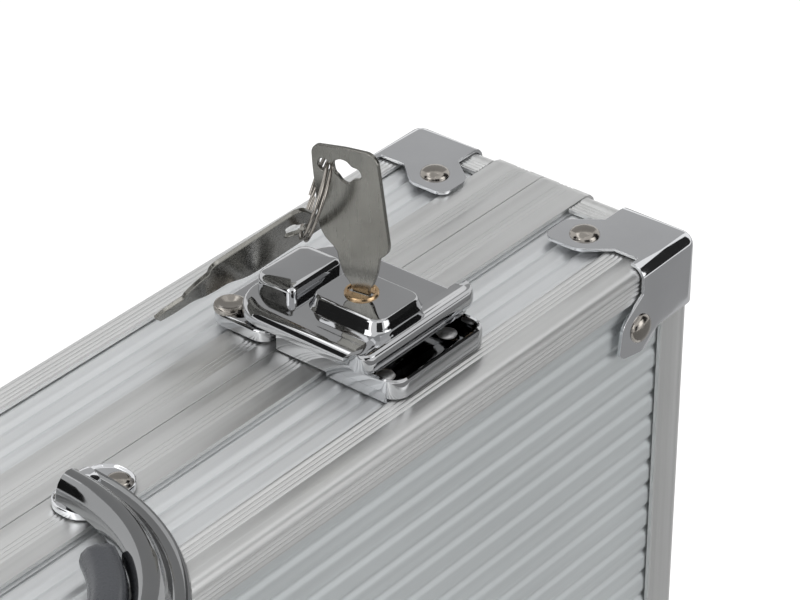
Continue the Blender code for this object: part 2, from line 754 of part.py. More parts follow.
def lever_shape():
    # A pressed cover with a rolled edge, a finger lip, the lock's housing and a hinge nose
    far = KNUCKLE_Y + LEVER_TAIL
    body = slab(rounded_box_outline(-LEVER_HALF, LEVER_HALF, LEVER_NEAR, far,
                                    LEVER_NEAR_CORNER, LEVER_FAR_CORNER), LEVER_LOW, LEVER_TOP)
    body = soften_top(body, LEVER_TOP, LEVER_ROLL)
    inner = LEVER_HALF - LEVER_WALL
    hollow = slab(rounded_box_outline(-inner, inner, LEVER_NEAR + LEVER_WALL,
                                      far - LEVER_WALL, LEVER_NEAR_CORNER - LEVER_WALL,
                                      LEVER_FAR_CORNER - LEVER_WALL),
                  LEVER_LOW - LEVER_WALL, LEVER_TOP - LEVER_SKIN)
    lip = slab(rounded_box_outline(-LIP_HALF, LIP_HALF, LIP_NEAR, LIP_FAR,
                                   LIP_CORNER, LIP_CORNER), LIP_LOW, LIP_TOP)
    lip = soften_top(lip, LIP_TOP, LIP_ROLL)
    lip = soften_top(lip, LIP_LOW, LIP_ROLL)
    housing = slab(rounded_box_outline(-HOUSING_HALF, HOUSING_HALF, HOUSING_NEAR, HOUSING_FAR,
                                       HOUSING_CORNER, HOUSING_CORNER),
                   LEVER_TOP - LEVER_SKIN / 2, HOUSING_TOP)
    housing = soften_top(housing, HOUSING_TOP, HOUSING_SLOPE)
    nose = slab(rounded_box_outline(-NOSE_HALF, NOSE_HALF, NOSE_NEAR, NOSE_FAR,
                                    NOSE_ROLL, NOSE_CORNER), LEVER_LOW, NOSE_TOP)
    nose = soften_top(nose, NOSE_TOP, NOSE_ROLL)
    hook = box((-HOOK_HALF, HOOK_NEAR, HOOK_LOW), (HOOK_HALF, HOOK_FAR, LEVER_TOP - FIT))
    room = KNUCKLE_RADIUS + FIT
    slot = box((-KNUCKLE_HALF - FIT, KNUCKLE_Y - room - FIT, LEVER_LOW - LEVER_WALL),
               (KNUCKLE_HALF + FIT, far + LEVER_WALL, KNUCKLE_Z + room))
    bore = rod((0, KNUCKLE_Y, KNUCKLE_Z), RIGHT, LATCH_PIN_RADIUS + FIT, 2 * LEVER_HALF)
    eye = rod((0, LOCK_Y, LEVER_TOP), UP, LOCK_RADIUS + FIT, 2 * LEVER_TOP, 2 * ROUND_STEPS)
    body = join(cut(body, hollow), lip, housing, nose, hook)
    return cut(body, slot, bore, eye)


def lock_shape():
    # The cylinder with its cam below and the keyway slot from the top
    low = LOCK_LOW + CAM_THICK
    barrel = rod((0, LOCK_Y, (low + LOCK_TOP) / 2), UP, LOCK_RADIUS, LOCK_TOP - low,
                 2 * ROUND_STEPS)
    cam = slab(rounded_box_outline(-CAM_WIDTH / 2, CAM_WIDTH / 2, LOCK_Y - CAM_REACH,
                                   LOCK_Y + CAM_BACK, CAM_THICK, CAM_THICK),
               LOCK_LOW, low + FIT)
    slot = box((-KEYWAY_HALF, -KEY_THICK / 2 - FIT, KEYWAY_FLOOR),
               (KEYWAY_HALF, KEY_THICK / 2 + FIT, LOCK_TOP + KEY_THICK))
    turn = Matrix.Rotation(KEY_BEARING - math.pi / 2, 4, "Z")
    slot_turned = moved_copy(slot, Matrix.Translation((0, LOCK_Y, 0)) @ turn)
    bpy.data.objects.remove(slot)
    return cut(join(barrel, cam), slot_turned)


def make_latches():
    pieces = (("latch_keeper", keeper_shape(), "chrome", None),
              ("latch_hinge_plate", hinge_plate_shape(), "chrome", None),
              ("latch_lever", lever_shape(), "chrome", (0, KNUCKLE_Y, KNUCKLE_Z)),
              ("latch_pin", rod((0, KNUCKLE_Y, KNUCKLE_Z), RIGHT, LATCH_PIN_RADIUS,
                                2 * (NOSE_HALF - LATCH_PIN_INSET)), "nickel", None),
              ("lock_cylinder", lock_shape(), "brass", (0, LOCK_Y, LOCK_TOP)))
    for name, shape, kind, pivot in pieces:
        for end, side in (("right", 1), ("left", -1)):
            shift = Vector((side * LATCH_X, 0, 0)) + SEAM_SHIFT
            made = moved_copy(shape, Matrix.Translation(shift))
            finish(made, name + "_" + end, kind, shift + Vector(pivot) if pivot else None)
        bpy.data.objects.remove(shape)


def key_side(flare):
    # One side from the tip up to the head's clipped corner: blade, neck, flare and head
    side = [(KEY_TIP_HALF, -KEY_TIP_DEPTH), (KEY_BLADE_HALF, KEY_TAPER - KEY_TIP_DEPTH),
            (KEY_BLADE_HALF, KEY_SHOULDER / 2), (KEY_NECK_HALF, KEY_SHOULDER)]
    for step in range(KEY_FLARE_STEPS + 1):
        turn = math.pi / 2 * step / KEY_FLARE_STEPS
        side.append((KEY_NECK_TOP_HALF + (KEY_HEAD_HALF - KEY_NECK_TOP_HALF) * math.sin(turn),
                     KEY_NECK_TOP + flare * (1 - math.cos(turn))))
    return side + [(KEY_HEAD_HALF, KEY_HEAD_TOP - KEY_CLIP), (KEY_HEAD_HALF - KEY_CLIP, KEY_HEAD_TOP)]


def key_shape():
    # A flat key seen from its side: blade down, the head above, and holes for the ring
    far = [(-across, up) for across, up in reversed(key_side(KEY_LONG_FLARE))]
    body = slab_across(key_side(KEY_SHORT_FLARE) + far, -KEY_THICK / 2, KEY_THICK / 2)
    holes = [rod((-KEY_HOLE_SIDE, 0, KEY_HOLE_HEIGHT), AWAY, KEY_HOLE_RADIUS, 2 * KEY_THICK)]
    holes += [rod((across, 0, up), AWAY, radius, 2 * KEY_THICK) for across, up, radius in KEY_LOBES]
    return cut(body, *holes)


KEY_HOLE = Vector((-KEY_HOLE_SIDE, 0, KEY_HOLE_HEIGHT))
KEY_TURN = Matrix.Rotation(KEY_BEARING - math.pi / 2, 4, "Z") @ Matrix.Rotation(-KEY_LEAN, 4, "Y")
LOCK_SPOT = Vector((LATCH_X, LOCK_Y, LOCK_TOP)) + SEAM_SHIFT
KEY_PLACE = Matrix.Translation(LOCK_SPOT) @ KEY_TURN
RING_AT_KEY = KEY_PLACE @ KEY_HOLE
RING_AT_SPARE = RING_AT_KEY + RING_DROP


def ring_axis():
    # The ring's plane holds the drop from key to key, turned a little from the key's normal
    normal = KEY_TURN.to_3x3() @ AWAY
    square = RING_DROP.cross(normal).normalized()
    return Matrix.Rotation(RING_TWIST, 3, RING_DROP) @ square


def spare_place():
    # The spare hangs by its hole on the ring's low point and points at its tip's place
    rise = (RING_AT_SPARE - SPARE_TIP).normalized()
    normal = (SPARE_FACE - SPARE_FACE.dot(rise) * rise).normalized()
    across = normal.cross(rise)
    basis = Matrix((across, normal, rise)).transposed().to_4x4()
    lean = math.atan2(KEY_HOLE_SIDE, KEY_HOLE_HEIGHT + KEY_TIP_DEPTH)
    swing = Matrix.Rotation(lean, 4, "Y")
    return Matrix.Translation(RING_AT_SPARE) @ basis @ swing @ Matrix.Translation(-KEY_HOLE)


def make_keys():
    shape = key_shape()
    finish(moved_copy(shape, KEY_PLACE), "key", "nickel", LOCK_SPOT)
    finish(moved_copy(shape, spare_place()), "spare_key", "nickel", RING_AT_SPARE)
    bpy.data.objects.remove(shape)
    bpy.ops.mesh.primitive_torus_add(major_radius=RING_DROP.length / 2, minor_radius=RING_WIRE,
                                     major_segments=RING_STEPS, minor_segments=RING_WIRE_STEPS)
    ring_body = bpy.context.object
    mesh = ring_body.data.copy()
    bpy.data.objects.remove(ring_body)
    body = bpy.data.objects.new("shape", mesh)
    PARTS.objects.link(body)
    turn = ring_axis().to_track_quat("Z", "Y").to_matrix().to_4x4()
    mesh.transform(Matrix.Translation(RING_AT_KEY + RING_DROP / 2) @ turn)
    finish(body, "key_ring", "nickel", RING_AT_KEY)


def bow_side(width, start, tail=None):
    # One edge of the bow from the right arm to the middle, and on to the left arm
    radius = BAIL_RADIUS + width
    centre_x = PIVOT_X - BAIL_RADIUS
    side = []
    if tail is not None:
        side.append((PIVOT_X + width, PIVOT_Y + tail))
    for step in range(BAIL_ARC_STEPS + 1):
        turn = start + (math.pi / 2 - start) * step / BAIL_ARC_STEPS
        side.append((centre_x + radius * math.cos(turn), BAIL_ARC_Y - radius * math.sin(turn)))
    return side + [(-x, y) for x, y in reversed(side)]


def bow_outline(width, start, tail=None):
    return bow_side(width / 2, start, tail) + bow_side(-width / 2, start, tail)[::-1]


def make_handle():
    start = math.asin((BAIL_ARC_Y - PIVOT_Y + BAIL_TAIL) / BAIL_RADIUS)
    bail = slab(bow_outline(BAIL_WIDTH, start, BAIL_TAIL), BAIL_LOW, BAIL_TOP)
    bail = soften_top(bail, BAIL_TOP, BAIL_ROLL)
    channel = slab(bow_outline(BAIL_WIDTH - 2 * BAIL_WALL, start, BAIL_TAIL + BAIL_WALL),
                   BAIL_LOW - BAIL_WALL, BAIL_TOP - BAIL_WALL)
    end = PIVOT_Y + BAIL_TAIL + BAIL_WALL
    top = BAIL_TOP + BAIL_WALL
    relief = slab_along([(PIVOT_Y - BAIL_HEEL, top), (end, top), (end, PIVOT_Z + BAIL_WALL)],
                        -PIVOT_X - BAIL_WIDTH, PIVOT_X + BAIL_WIDTH)
    low = BAIL_LOW - BAIL_WALL
    undercut = slab_along([(PIVOT_Y, low), (end, low), (end, PIVOT_Z), (PIVOT_Y, BAIL_LOW)],
                          -PIVOT_X - BAIL_WIDTH, PIVOT_X + BAIL_WIDTH)
    pins = [rod((side * PIVOT_X, PIVOT_Y, PIVOT_Z), RIGHT, BAIL_PIN, BAIL_WIDTH - BAIL_WALL)
            for side in (-1, 1)]
    bail = join(cut(bail, channel, relief, undercut), *pins)
    pivot = Vector((0, PIVOT_Y, PIVOT_Z)) + SEAM_SHIFT
    shift = Matrix.Translation(SEAM_SHIFT)
    finish(moved_copy(bail, shift), "handle_bail", "chrome", pivot)
    bpy.data.objects.remove(bail)
    room = BAIL_WIDTH - 2 * BAIL_WALL - 2 * FIT
    grip = slab(bow_outline(room, GRIP_ANGLE), GRIP_LOW, GRIP_TOP)
    finish(moved_copy(grip, shift), "handle_grip", "plastic", pivot)
    bpy.data.objects.remove(grip)


def bracket_shape():
    plate = slab(rounded_box_outline(BRACKET_INNER_X, BRACKET_OUTER_X, BRACKET_NEAR,
                                     BRACKET_FAR, BRACKET_CORNER, BRACKET_CORNER),
                 -CAP_SHEET, BRACKET_TOP)
    loop = rod((PIVOT_X, PIVOT_Y, PIVOT_Z), RIGHT, LOOP_RADIUS, 2 * LOOP_HALF)
    neck = box((PIVOT_X - LOOP_HALF, PIVOT_Y - LOOP_NECK, 0),
               (PIVOT_X + LOOP_HALF, PIVOT_Y + LOOP_NECK, PIVOT_Z))
    head = rivet((BRACKET_RIVET_X, BRACKET_RIVET_Y, BRACKET_TOP), UP,
                 SMALL_RIVET_RADIUS, SMALL_RIVET_HEIGHT)
    hole = rod((PIVOT_X, PIVOT_Y, PIVOT_Z), RIGHT, LOOP_HOLE, 3 * LOOP_HALF)
    return cut(join(plate, loop, neck, head), hole)


def make_brackets():
    shape = bracket_shape()
    for end, side in (("right", 1), ("left", -1)):
        place = Matrix.Translation(SEAM_SHIFT) @ Matrix.Diagonal((side, 1, 1, 1))
        finish(moved_copy(shape, place), "handle_bracket_" + end, "nickel")
    bpy.data.objects.remove(shape)


REAR_Z = -CASE_HEIGHT + CAP_STEP
HINGE_Z = REAR_Z - FIT - HINGE_RADIUS


def leaf_shape(side, knuckles):
    # A leaf that reaches from the barrel over its own half, with its share of the knuckles
    reach = sorted((SEAM_DEPTH + side * (HINGE_RADIUS + 2 * FIT), SEAM_DEPTH + side * HINGE_REACH))
    low = REAR_Z - FIT - HINGE_SHEET
    high = REAR_Z - FIT
    body = box((-HINGE_LENGTH / 2, reach[0], low), (HINGE_LENGTH / 2, reach[1], high))
    extras = []
    for start, end in knuckles:
        middle = (start + end) / 2
        extras.append(rod((middle, SEAM_DEPTH, HINGE_Z), RIGHT, HINGE_RADIUS, end - start))
        strap = sorted((SEAM_DEPTH, SEAM_DEPTH + side * 2 * HINGE_RADIUS))
        extras.append(box((start, strap[0], low), (end, strap[1], high)))
    for column in (-1, 0, 1):
        spot = (column * HINGE_RIVET_PITCH, SEAM_DEPTH + side * HINGE_RIVET_REACH, low)
        extras.append(rivet(spot, -UP, SMALL_RIVET_RADIUS, SMALL_RIVET_HEIGHT))
    bore = rod((0, SEAM_DEPTH, HINGE_Z), RIGHT, HINGE_PIN + FIT, 2 * HINGE_LENGTH)
    return cut(join(body, *extras), bore)


def make_case_hinges():
    end = HINGE_LENGTH / 2
    middle = HINGE_KNUCKLE / 2
    base = leaf_shape(-1, ((-end, -middle - FIT), (middle + FIT, end)))
    lid = leaf_shape(1, ((-middle, middle),))
    pin = rod((0, SEAM_DEPTH, HINGE_Z), RIGHT, HINGE_PIN, HINGE_LENGTH)
    for name, shape, kind in (("base_hinge_leaf", base, "nickel"),
                              ("lid_hinge_leaf", lid, "nickel"), ("hinge_pin", pin, "nickel")):
        for side_name, side in (("right", 1), ("left", -1)):
            place = Matrix.Translation((side * LATCH_X, 0, 0))
            finish(moved_copy(shape, place), name + "_" + side_name, kind)
        bpy.data.objects.remove(shape)


def make_feet():
    top = REAR_Z + PANEL_FACE - FIT
    low = -CASE_HEIGHT - FOOT_HEIGHT
    profile = [(0, top), (FOOT_RADIUS, top), (FOOT_RADIUS, low + FOOT_CHAMFER),
               (FOOT_RADIUS - FOOT_CHAMFER, low), (0, low)]
    for half in HALVES:
        strip_near = half.y(half.long_legs[1])
        middle = (strip_near + half.closure_y) / 2
        for end, side in (("right", 1), ("left", -1)):
            foot = turned(profile, (side * FOOT_X, middle, 0), UP)
            finish(foot, half.name + "_foot_" + end, "rubber")


def make_tray():
    # The moulded foam tray: chip troughs to each side, card wells and a dice slot between
    half_x = SHELL_HALF_X - CORE - FIT - TRAY_FIT
    half_z = SHELL_HALF_Z - CORE - FIT - TRAY_FIT
    back = BASE.y(CORE + FIT)
    body = box((-half_x, back, MIDDLE_Z - half_z), (half_x, TRAY_FRONT, MIDDLE_Z + half_z))
    cutters = []
    for side in (-1, 1):
        for row in range(CHIP_ROWS):
            x = side * (half_x - TRAY_RIM - CHIP_RADIUS - row * CHIP_PITCH)
            cutters.append(rod((x, TRAY_FRONT, MIDDLE_Z), UP, CHIP_RADIUS, CHIP_STACK,
                               2 * ROUND_STEPS))
    step = (CARD_HEIGHT + DICE_HEIGHT) / 2 + WELL_RIB
    wells = ((CARD_WIDTH, CARD_HEIGHT, CARD_DEPTH, step),
             (CARD_WIDTH, CARD_HEIGHT, CARD_DEPTH, -step),
             (DICE_WIDTH, DICE_HEIGHT, DICE_DEPTH, 0))
    for width, height, depth, z in wells:
        cutters.append(box((-width / 2, TRAY_FRONT - depth, MIDDLE_Z + z - height / 2),
                           (width / 2, TRAY_FRONT + depth, MIDDLE_Z + z + height / 2)))
    finish(cut(body, *cutters), "chip_tray", "foam")


def make_lid_pad():
    half_x = SHELL_HALF_X - CORE - FIT - TRAY_FIT
    half_z = SHELL_HALF_Z - CORE - FIT - TRAY_FIT
    back = LID.y(CORE + FIT)
    finish(box((-half_x, back - PAD_THICK, MIDDLE_Z - half_z), (half_x, back, MIDDLE_Z + half_z)),
           "lid_pad", "foam")


for case_half in HALVES:
    make_edge_frame(case_half)
    make_closure(case_half)
    make_main_panel(case_half)
    make_side_panels(case_half)
make_corners()
make_latches()
make_keys()
make_handle()
make_brackets()
make_case_hinges()
make_feet()
make_tray()
make_lid_pad()
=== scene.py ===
# Poker chip case, dressed for the photograph: satin aluminium extrusions round ribbed panels,
# chromed corners, latches and handle, nickel keys on a split ring, and a dark foam tray.

import math

import bmesh
import bpy
from mathutils import Matrix, Vector


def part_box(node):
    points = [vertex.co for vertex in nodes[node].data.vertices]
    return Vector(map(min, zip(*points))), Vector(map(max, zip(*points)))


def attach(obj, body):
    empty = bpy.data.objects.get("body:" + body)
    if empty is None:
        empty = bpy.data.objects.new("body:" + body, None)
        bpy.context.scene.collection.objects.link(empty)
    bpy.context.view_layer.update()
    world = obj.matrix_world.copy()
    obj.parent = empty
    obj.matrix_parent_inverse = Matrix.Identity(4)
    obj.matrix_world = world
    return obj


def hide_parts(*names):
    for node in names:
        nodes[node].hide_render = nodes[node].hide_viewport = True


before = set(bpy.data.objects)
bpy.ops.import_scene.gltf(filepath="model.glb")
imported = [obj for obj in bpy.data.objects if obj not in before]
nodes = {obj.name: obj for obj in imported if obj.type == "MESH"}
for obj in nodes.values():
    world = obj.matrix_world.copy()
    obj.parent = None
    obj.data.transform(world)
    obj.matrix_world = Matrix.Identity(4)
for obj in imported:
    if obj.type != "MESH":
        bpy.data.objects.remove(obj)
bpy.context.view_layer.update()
print("frame loaded:", len(nodes), "nodes")

# The case's own measures in metres, as the frame has them
faceTop = 0.2105  # the face with the latches and the handle
nearPlace = -0.0265  # the broad face of the base
latchPlace = 0.125  # from the middle to each latch
caseHalf = 0.1925  # from the middle to each end
caseDepth = 0.068
caseMiddle = 0.108  # the height of the middle
caseReach = 0.1025  # from there to the front and the rear face
mm = 0.001
tiny = 0.001  # points closer than this are taken as one


# Camera: a long lens, high over the near face of the case
camera = {
    "place": (-0.2577, -0.3182, 0.5321),
    "azimuth": -51.0,
    "elevation": 32.3,
    "lens": 148.5,
    "sensor": 36.0,
    "clip": (0.01, 50),
}


def makeCamera():
    turn, rise = math.radians(camera["azimuth"]), math.radians(camera["elevation"])
    back = Vector((math.sin(turn) * math.cos(rise), -math.cos(turn) * math.cos(rise),
                   math.sin(rise)))
    data = bpy.data.cameras.new("camera")
    data.lens = camera["lens"]
    data.sensor_width = camera["sensor"]
    data.clip_start, data.clip_end = camera["clip"]
    made = bpy.data.objects.new("camera", data)
    made.location = camera["place"]
    made.rotation_mode = "QUATERNION"
    made.rotation_quaternion = (-back).to_track_quat("-Z", "Y")
    bpy.context.scene.collection.objects.link(made)
    bpy.context.scene.camera = made


makeCamera()
print("camera placed")


# Nodes for the finishes
def newMaterial(name, metallic=0.0, roughness=0.4):
    made = bpy.data.materials.new(name)
    made.use_nodes = True
    surface = made.node_tree.nodes["Principled BSDF"]
    surface.inputs["Metallic"].default_value = metallic
    surface.inputs["Roughness"].default_value = roughness
    return made, surface


def addNode(material, kind, **settings):
    node = material.node_tree.nodes.new(kind)
    for key, value in settings.items():
        setattr(node, key, value)
    return node


def link(material, output, socket):
    material.node_tree.links.new(output, socket)


def place(material):
    return addNode(material, "ShaderNodeTexCoord").outputs["Object"]


def stretched(material, scale, source=None):
    mapping = addNode(material, "ShaderNodeMapping")
    mapping.inputs["Scale"].default_value = scale
    link(material, source or place(material), mapping.inputs["Vector"])
    return mapping.outputs["Vector"]


def noise(material, vector, scale, detail=3.0, rough=0.5):
    node = addNode(material, "ShaderNodeTexNoise")
    node.inputs["Scale"].default_value = scale
    node.inputs["Detail"].default_value = detail
    node.inputs["Roughness"].default_value = rough
    link(material, vector, node.inputs["Vector"])
    return node.outputs["Fac"]


def spread(material, source, low, high, fromLow=0.3, fromHigh=0.7):
    node = addNode(material, "ShaderNodeMapRange")
    node.inputs["From Min"].default_value = fromLow
    node.inputs["From Max"].default_value = fromHigh
    node.inputs["To Min"].default_value = low
    node.inputs["To Max"].default_value = high
    link(material, source, node.inputs["Value"])
    return node.outputs["Result"]


def tint(material, source, dark, light):
    # The mix node's sockets 6, 7 and output 2 are the ones for colours
    node = addNode(material, "ShaderNodeMix", data_type="RGBA")
    node.inputs[6].default_value = (*dark, 1)
    node.inputs[7].default_value = (*light, 1)
    link(material, source, node.inputs["Factor"])
    return node.outputs[2]


def reckon(material, operation, first, second=0.0):
    node = addNode(material, "ShaderNodeMath", operation=operation)
    for socket, value in zip(node.inputs, (first, second)):
        if isinstance(value, (int, float)):
            socket.default_value = value
        else:
            link(material, value, socket)
    return node.outputs[0]


def bump(material, surface, height, distance, strength=1.0, before=None):
    node = addNode(material, "ShaderNodeBump")
    node.inputs["Strength"].default_value = strength
    node.inputs["Distance"].default_value = distance
    link(material, height, node.inputs["Height"])
    if before:
        link(material, before, node.inputs["Normal"])
    link(material, node.outputs["Normal"], surface.inputs["Normal"])
    return node.outputs["Normal"]


# Studio: white surround, pale floor, soft lamps, and grey cards that only the metal mirrors
studio = {
    "plainLight": 0.78,
    "floorColour": (0.86, 0.86, 0.86),
    "floorRoughness": 0.9,
    "floorShine": 0.1,
    "floorGlow": 0.25,
    "floorSize": 6.0,
    "floorHeight": -0.2 * mm,
    "cardColour": (0.01, 0.01, 0.01),
}


def seenDirectly(tree):
    # 1 for camera, glossy and transmission rays, 0 for the rays that carry soft light
    path = tree.nodes.new("ShaderNodeLightPath")
    total = path.outputs["Is Camera Ray"]
    for name in ("Is Glossy Ray", "Is Transmission Ray"):
        add = tree.nodes.new("ShaderNodeMath")
        add.operation = "ADD"
        add.use_clamp = True
        tree.links.new(total, add.inputs[0])
        tree.links.new(path.outputs[name], add.inputs[1])
        total = add.outputs[0]
    return total


def makeWorld():
    world = bpy.data.worlds.new("studio")
    bpy.context.scene.world = world
    world.use_nodes = True
    tree = world.node_tree
    back = tree.nodes["Background"]
    back.inputs["Color"].default_value = (1, 1, 1, 1)
    level = tree.nodes.new("ShaderNodeMapRange")
    level.inputs["To Min"].default_value = studio["plainLight"]
    level.inputs["To Max"].default_value = 1.0
    tree.links.new(seenDirectly(tree), level.inputs["Value"])
    tree.links.new(level.outputs["Result"], back.inputs["Strength"])


def makeSheet(name, width, height):
    mesh = bpy.data.meshes.new(name)
    x, y = width / 2, height / 2
    mesh.from_pydata([(-x, -y, 0), (x, -y, 0), (x, y, 0), (-x, y, 0)], [], [(0, 1, 2, 3)])
    made = bpy.data.objects.new(name, mesh)
    bpy.context.scene.collection.objects.link(made)
    return made


def makeFloor():
    floor = makeSheet("floor", studio["floorSize"], studio["floorSize"])
    floor.location.z = studio["floorHeight"]
    coat, surface = newMaterial("floorPaint", roughness=studio["floorRoughness"])
    surface.inputs["Base Color"].default_value = (*studio["floorColour"], 1)
    surface.inputs["Specular IOR Level"].default_value = studio["floorShine"]
    surface.inputs["Emission Color"].default_value = (1, 1, 1, 1)
    level = reckon(coat, "MULTIPLY", seenDirectly(coat.node_tree), studio["floorGlow"])
    link(coat, level, surface.inputs["Emission Strength"])
    floor.data.materials.append(coat)


def aimAt(made, place, aim):
    made.location = place
    made.rotation_mode = "QUATERNION"
    made.rotation_quaternion = (Vector(aim) - Vector(place)).to_track_quat("-Z", "Y")


lamps = {
    "overhead": {"place": (-0.1, 0.2, 1.5), "aim": (0, 0, 0.2), "size": 1.2, "power": 5},
    "left": {"place": (-1.3, 0.3, 0.9), "aim": (0, 0, 0.15), "size": 0.8, "power": 4.5},
    "near": {"place": (0.5, -1.4, 0.7), "aim": (0, 0, 0.12), "size": 0.9, "power": 4},
}


def makeLamps():
    for name, lamp in lamps.items():
        data = bpy.data.lights.new(name, "AREA")
        data.size = lamp["size"]
        data.energy = lamp["power"]
        made = bpy.data.objects.new(name, data)
        aimAt(made, lamp["place"], lamp["aim"])
        bpy.context.scene.collection.objects.link(made)


cards = {
    "cardFar": {"place": (1.3, 1.05, 1.25), "aim": (0, 0, 0.2), "width": 2.4, "height": 1.7,
                "glow": 0.45},
    "cardRight": {"place": (1.3, -1.15, 0.9), "aim": (0, 0, 0.2), "width": 1.5, "height": 1.7,
                  "glow": 0.015},
    "cardLow": {"place": (0.17, -0.6, 0.012), "aim": (0.17, -0.6, 1), "width": 2.0, "height": 1.0,
                "glow": 0.3},
    "cardLowFar": {"place": (0.1, 0.75, 0.012), "aim": (0.1, 0.75, 1), "width": 2.2, "height": 1.2,
                   "glow": 0.3},
    "cardLowRight": {"place": (0.82, 0.02, 0.008), "aim": (0.82, 0.02, 1), "width": 1.1,
                     "height": 0.5, "glow": 0.5},
    "cardLowLeft": {"place": (-0.82, 0.02, 0.008), "aim": (-0.82, 0.02, 1), "width": 1.1,
                    "height": 0.5, "glow": 0.4},
    "cardNear": {"place": (-0.9, -1.5, 0.6), "aim": (0, 0, 0.2), "width": 1.2, "height": 1.1,
                 "glow": 0.03},
    "cardAbove": {"place": (-0.1, 0.1, 1.45), "aim": (-0.1, 0.1, 0), "width": 1.3, "height": 1.0,
                  "glow": 0.72},
    "cardLeft": {"place": (-1.5, 1.0, 0.95), "aim": (0, 0, 0.2), "width": 1.5, "height": 1.5,
                 "glow": 0.015},
}


def makeCards():
    for name, card in cards.items():
        made = makeSheet(name, card["width"], card["height"])
        aimAt(made, card["place"], card["aim"])
        cloth, surface = newMaterial(name + "Cloth", roughness=1.0)
        surface.inputs["Base Color"].default_value = (*studio["cardColour"], 1)
        surface.inputs["Specular IOR Level"].default_value = 0.0
        surface.inputs["Emission Color"].default_value = (1, 1, 1, 1)
        surface.inputs["Emission Strength"].default_value = card["glow"]
        made.data.materials.append(cloth)
        made.visible_camera = False
        made.visible_diffuse = False
        made.visible_shadow = False


makeWorld()
makeFloor()
makeLamps()
makeCards()
bpy.context.scene.view_settings.view_transform = "Standard"
print("studio lit")

# Shaping tools: every piece is drawn in millimetres in the case's own space
caseSpace = Matrix.Translation((0, nearPlace, faceTop)) @ Matrix.Scale(mm, 4)


def asObject(name, shape, space=caseSpace, sharp=38.0):
    # Turns a bmesh into an object in world metres, smooth but for its real edges
    shape.transform(space)
    if space.determinant() < 0:
        bmesh.ops.reverse_faces(shape, faces=shape.faces)
    mesh = bpy.data.meshes.new(name)
    shape.to_mesh(mesh)
    shape.free()
    for face in mesh.polygons:
        face.use_smooth = True
    mesh.set_sharp_from_angle(angle=math.radians(sharp))
    made = bpy.data.objects.new(name, mesh)
    bpy.context.scene.collection.objects.link(made)
    return made


def addLoft(shape, rings, closed=False):
    # Skins a row of rings with equal counts of points, and closes both ends unless it loops
    rows = [[shape.verts.new(point) for point in ring] for ring in rings]
    pairs = list(zip(rows, rows[1:])) + ([(rows[-1], rows[0])] if closed else [])
    for low, high in pairs:
        for i in range(len(low)):
            j = (i + 1) % len(low)
            shape.faces.new((low[i], low[j], high[j], high[i]))
    if not closed:
        shape.faces.new(rows[0][::-1])
        shape.faces.new(rows[-1])


def roundedRing(box, corners, inset, up, steps=6, leastBend=0.06):
    # A box from above as (left, right, near, far), its near and far corners rounded
    left, right, near, far = box
    points = []
    for x, y, wanted, start in ((right, far, corners[1], 0), (left, far, corners[1], 90),
                                (left, near, corners[0], 180), (right, near, corners[0], 270)):
        bend = max(wanted - inset, leastBend)
        middleX = x - math.copysign(inset + bend, x - (left + right) / 2)
        middleY = y - math.copysign(inset + bend, y - (near + far) / 2)
        for step in range(steps + 1):
            turn = math.radians(start + 90 * step / steps)
            points.append((middleX + bend * math.cos(turn), middleY + bend * math.sin(turn), up))
    return points


def addPressed(shape, box, corners, profile, steps=6):
    # A pressed form: one rounded outline stepped inwards and upwards by the profile
    addLoft(shape, [roundedRing(box, corners, inset, up, steps) for inset, up in profile])


def addTurned(shape, centre, direction, profile, steps=32):
    # A turned form from (radius, height) pairs that start and end off the axis
    turn = Vector(direction).to_track_quat("Z", "Y").to_matrix()
    rings = []
    for radius, height in profile:
        ring = []
        for step in range(steps):
            angle = math.tau * step / steps
            spoke = Vector((radius * math.cos(angle), radius * math.sin(angle), height))
            ring.append(Vector(centre) + turn @ spoke)
        rings.append(ring)
    addLoft(shape, rings)


def addTube(shape, path, radius, steps=10):
    # A round wire along a path
    rings = []
    side = None
    for before, point, after in zip([path[0], *path], path, [*path[1:], path[-1]]):
        ahead = (after - before).normalized()
        if side is None:
            side = ahead.orthogonal().normalized()
        side = (side - side.dot(ahead) * ahead).normalized()
        other = ahead.cross(side)
        rings.append([point + radius * (side * math.cos(math.tau * k / steps)
                                        + other * math.sin(math.tau * k / steps))
                      for k in range(steps)])
    addLoft(shape, rings)


def smoothLoop(points, parts=4):
    # A smooth closed line through the given points
    line = []
    for i in range(len(points)):
        a, b, c, d = (Vector(points[(i + k) % len(points)]) for k in (-1, 0, 1, 2))
        for part in range(parts):
            t = part / parts
            line.append(0.5 * (2 * b + (c - a) * t + (2 * a - 5 * b + 4 * c - d) * t * t
                               + (3 * b - a - 3 * c + d) * t ** 3))
    return line


def stamped(outline, holes, thick, edge):
    # Sheet stamped to an outline with its edges eased: x across, y up, z through the sheet
    curve = bpy.data.curves.new("stamp", "CURVE")
    curve.dimensions = "2D"
    curve.fill_mode = "BOTH"
    curve.extrude = thick / 2 - edge
    curve.bevel_depth = edge
    curve.bevel_resolution = 1
    curve.offset = -edge
    for line in (outline, *holes):
        spline = curve.splines.new("POLY")
        spline.points.add(len(line) - 1)
        for point, (x, y) in zip(spline.points, line):
            point.co = (x, y, 0, 1)
        spline.use_cyclic_u = True
    holder = bpy.data.objects.new("stamp", curve)
    mesh = bpy.data.meshes.new_from_object(holder)
    shape = bmesh.new()
    shape.from_mesh(mesh)
    bmesh.ops.remove_doubles(shape, verts=shape.verts, dist=tiny)
    bpy.data.objects.remove(holder)
    bpy.data.curves.remove(curve)
    bpy.data.meshes.remove(mesh)
    return shape


def circle(x, y, radius, steps=20):
    turns = [math.tau * k / steps for k in range(steps)]
    return [(x + radius * math.cos(turn), y + radius * math.sin(turn)) for turn in turns]


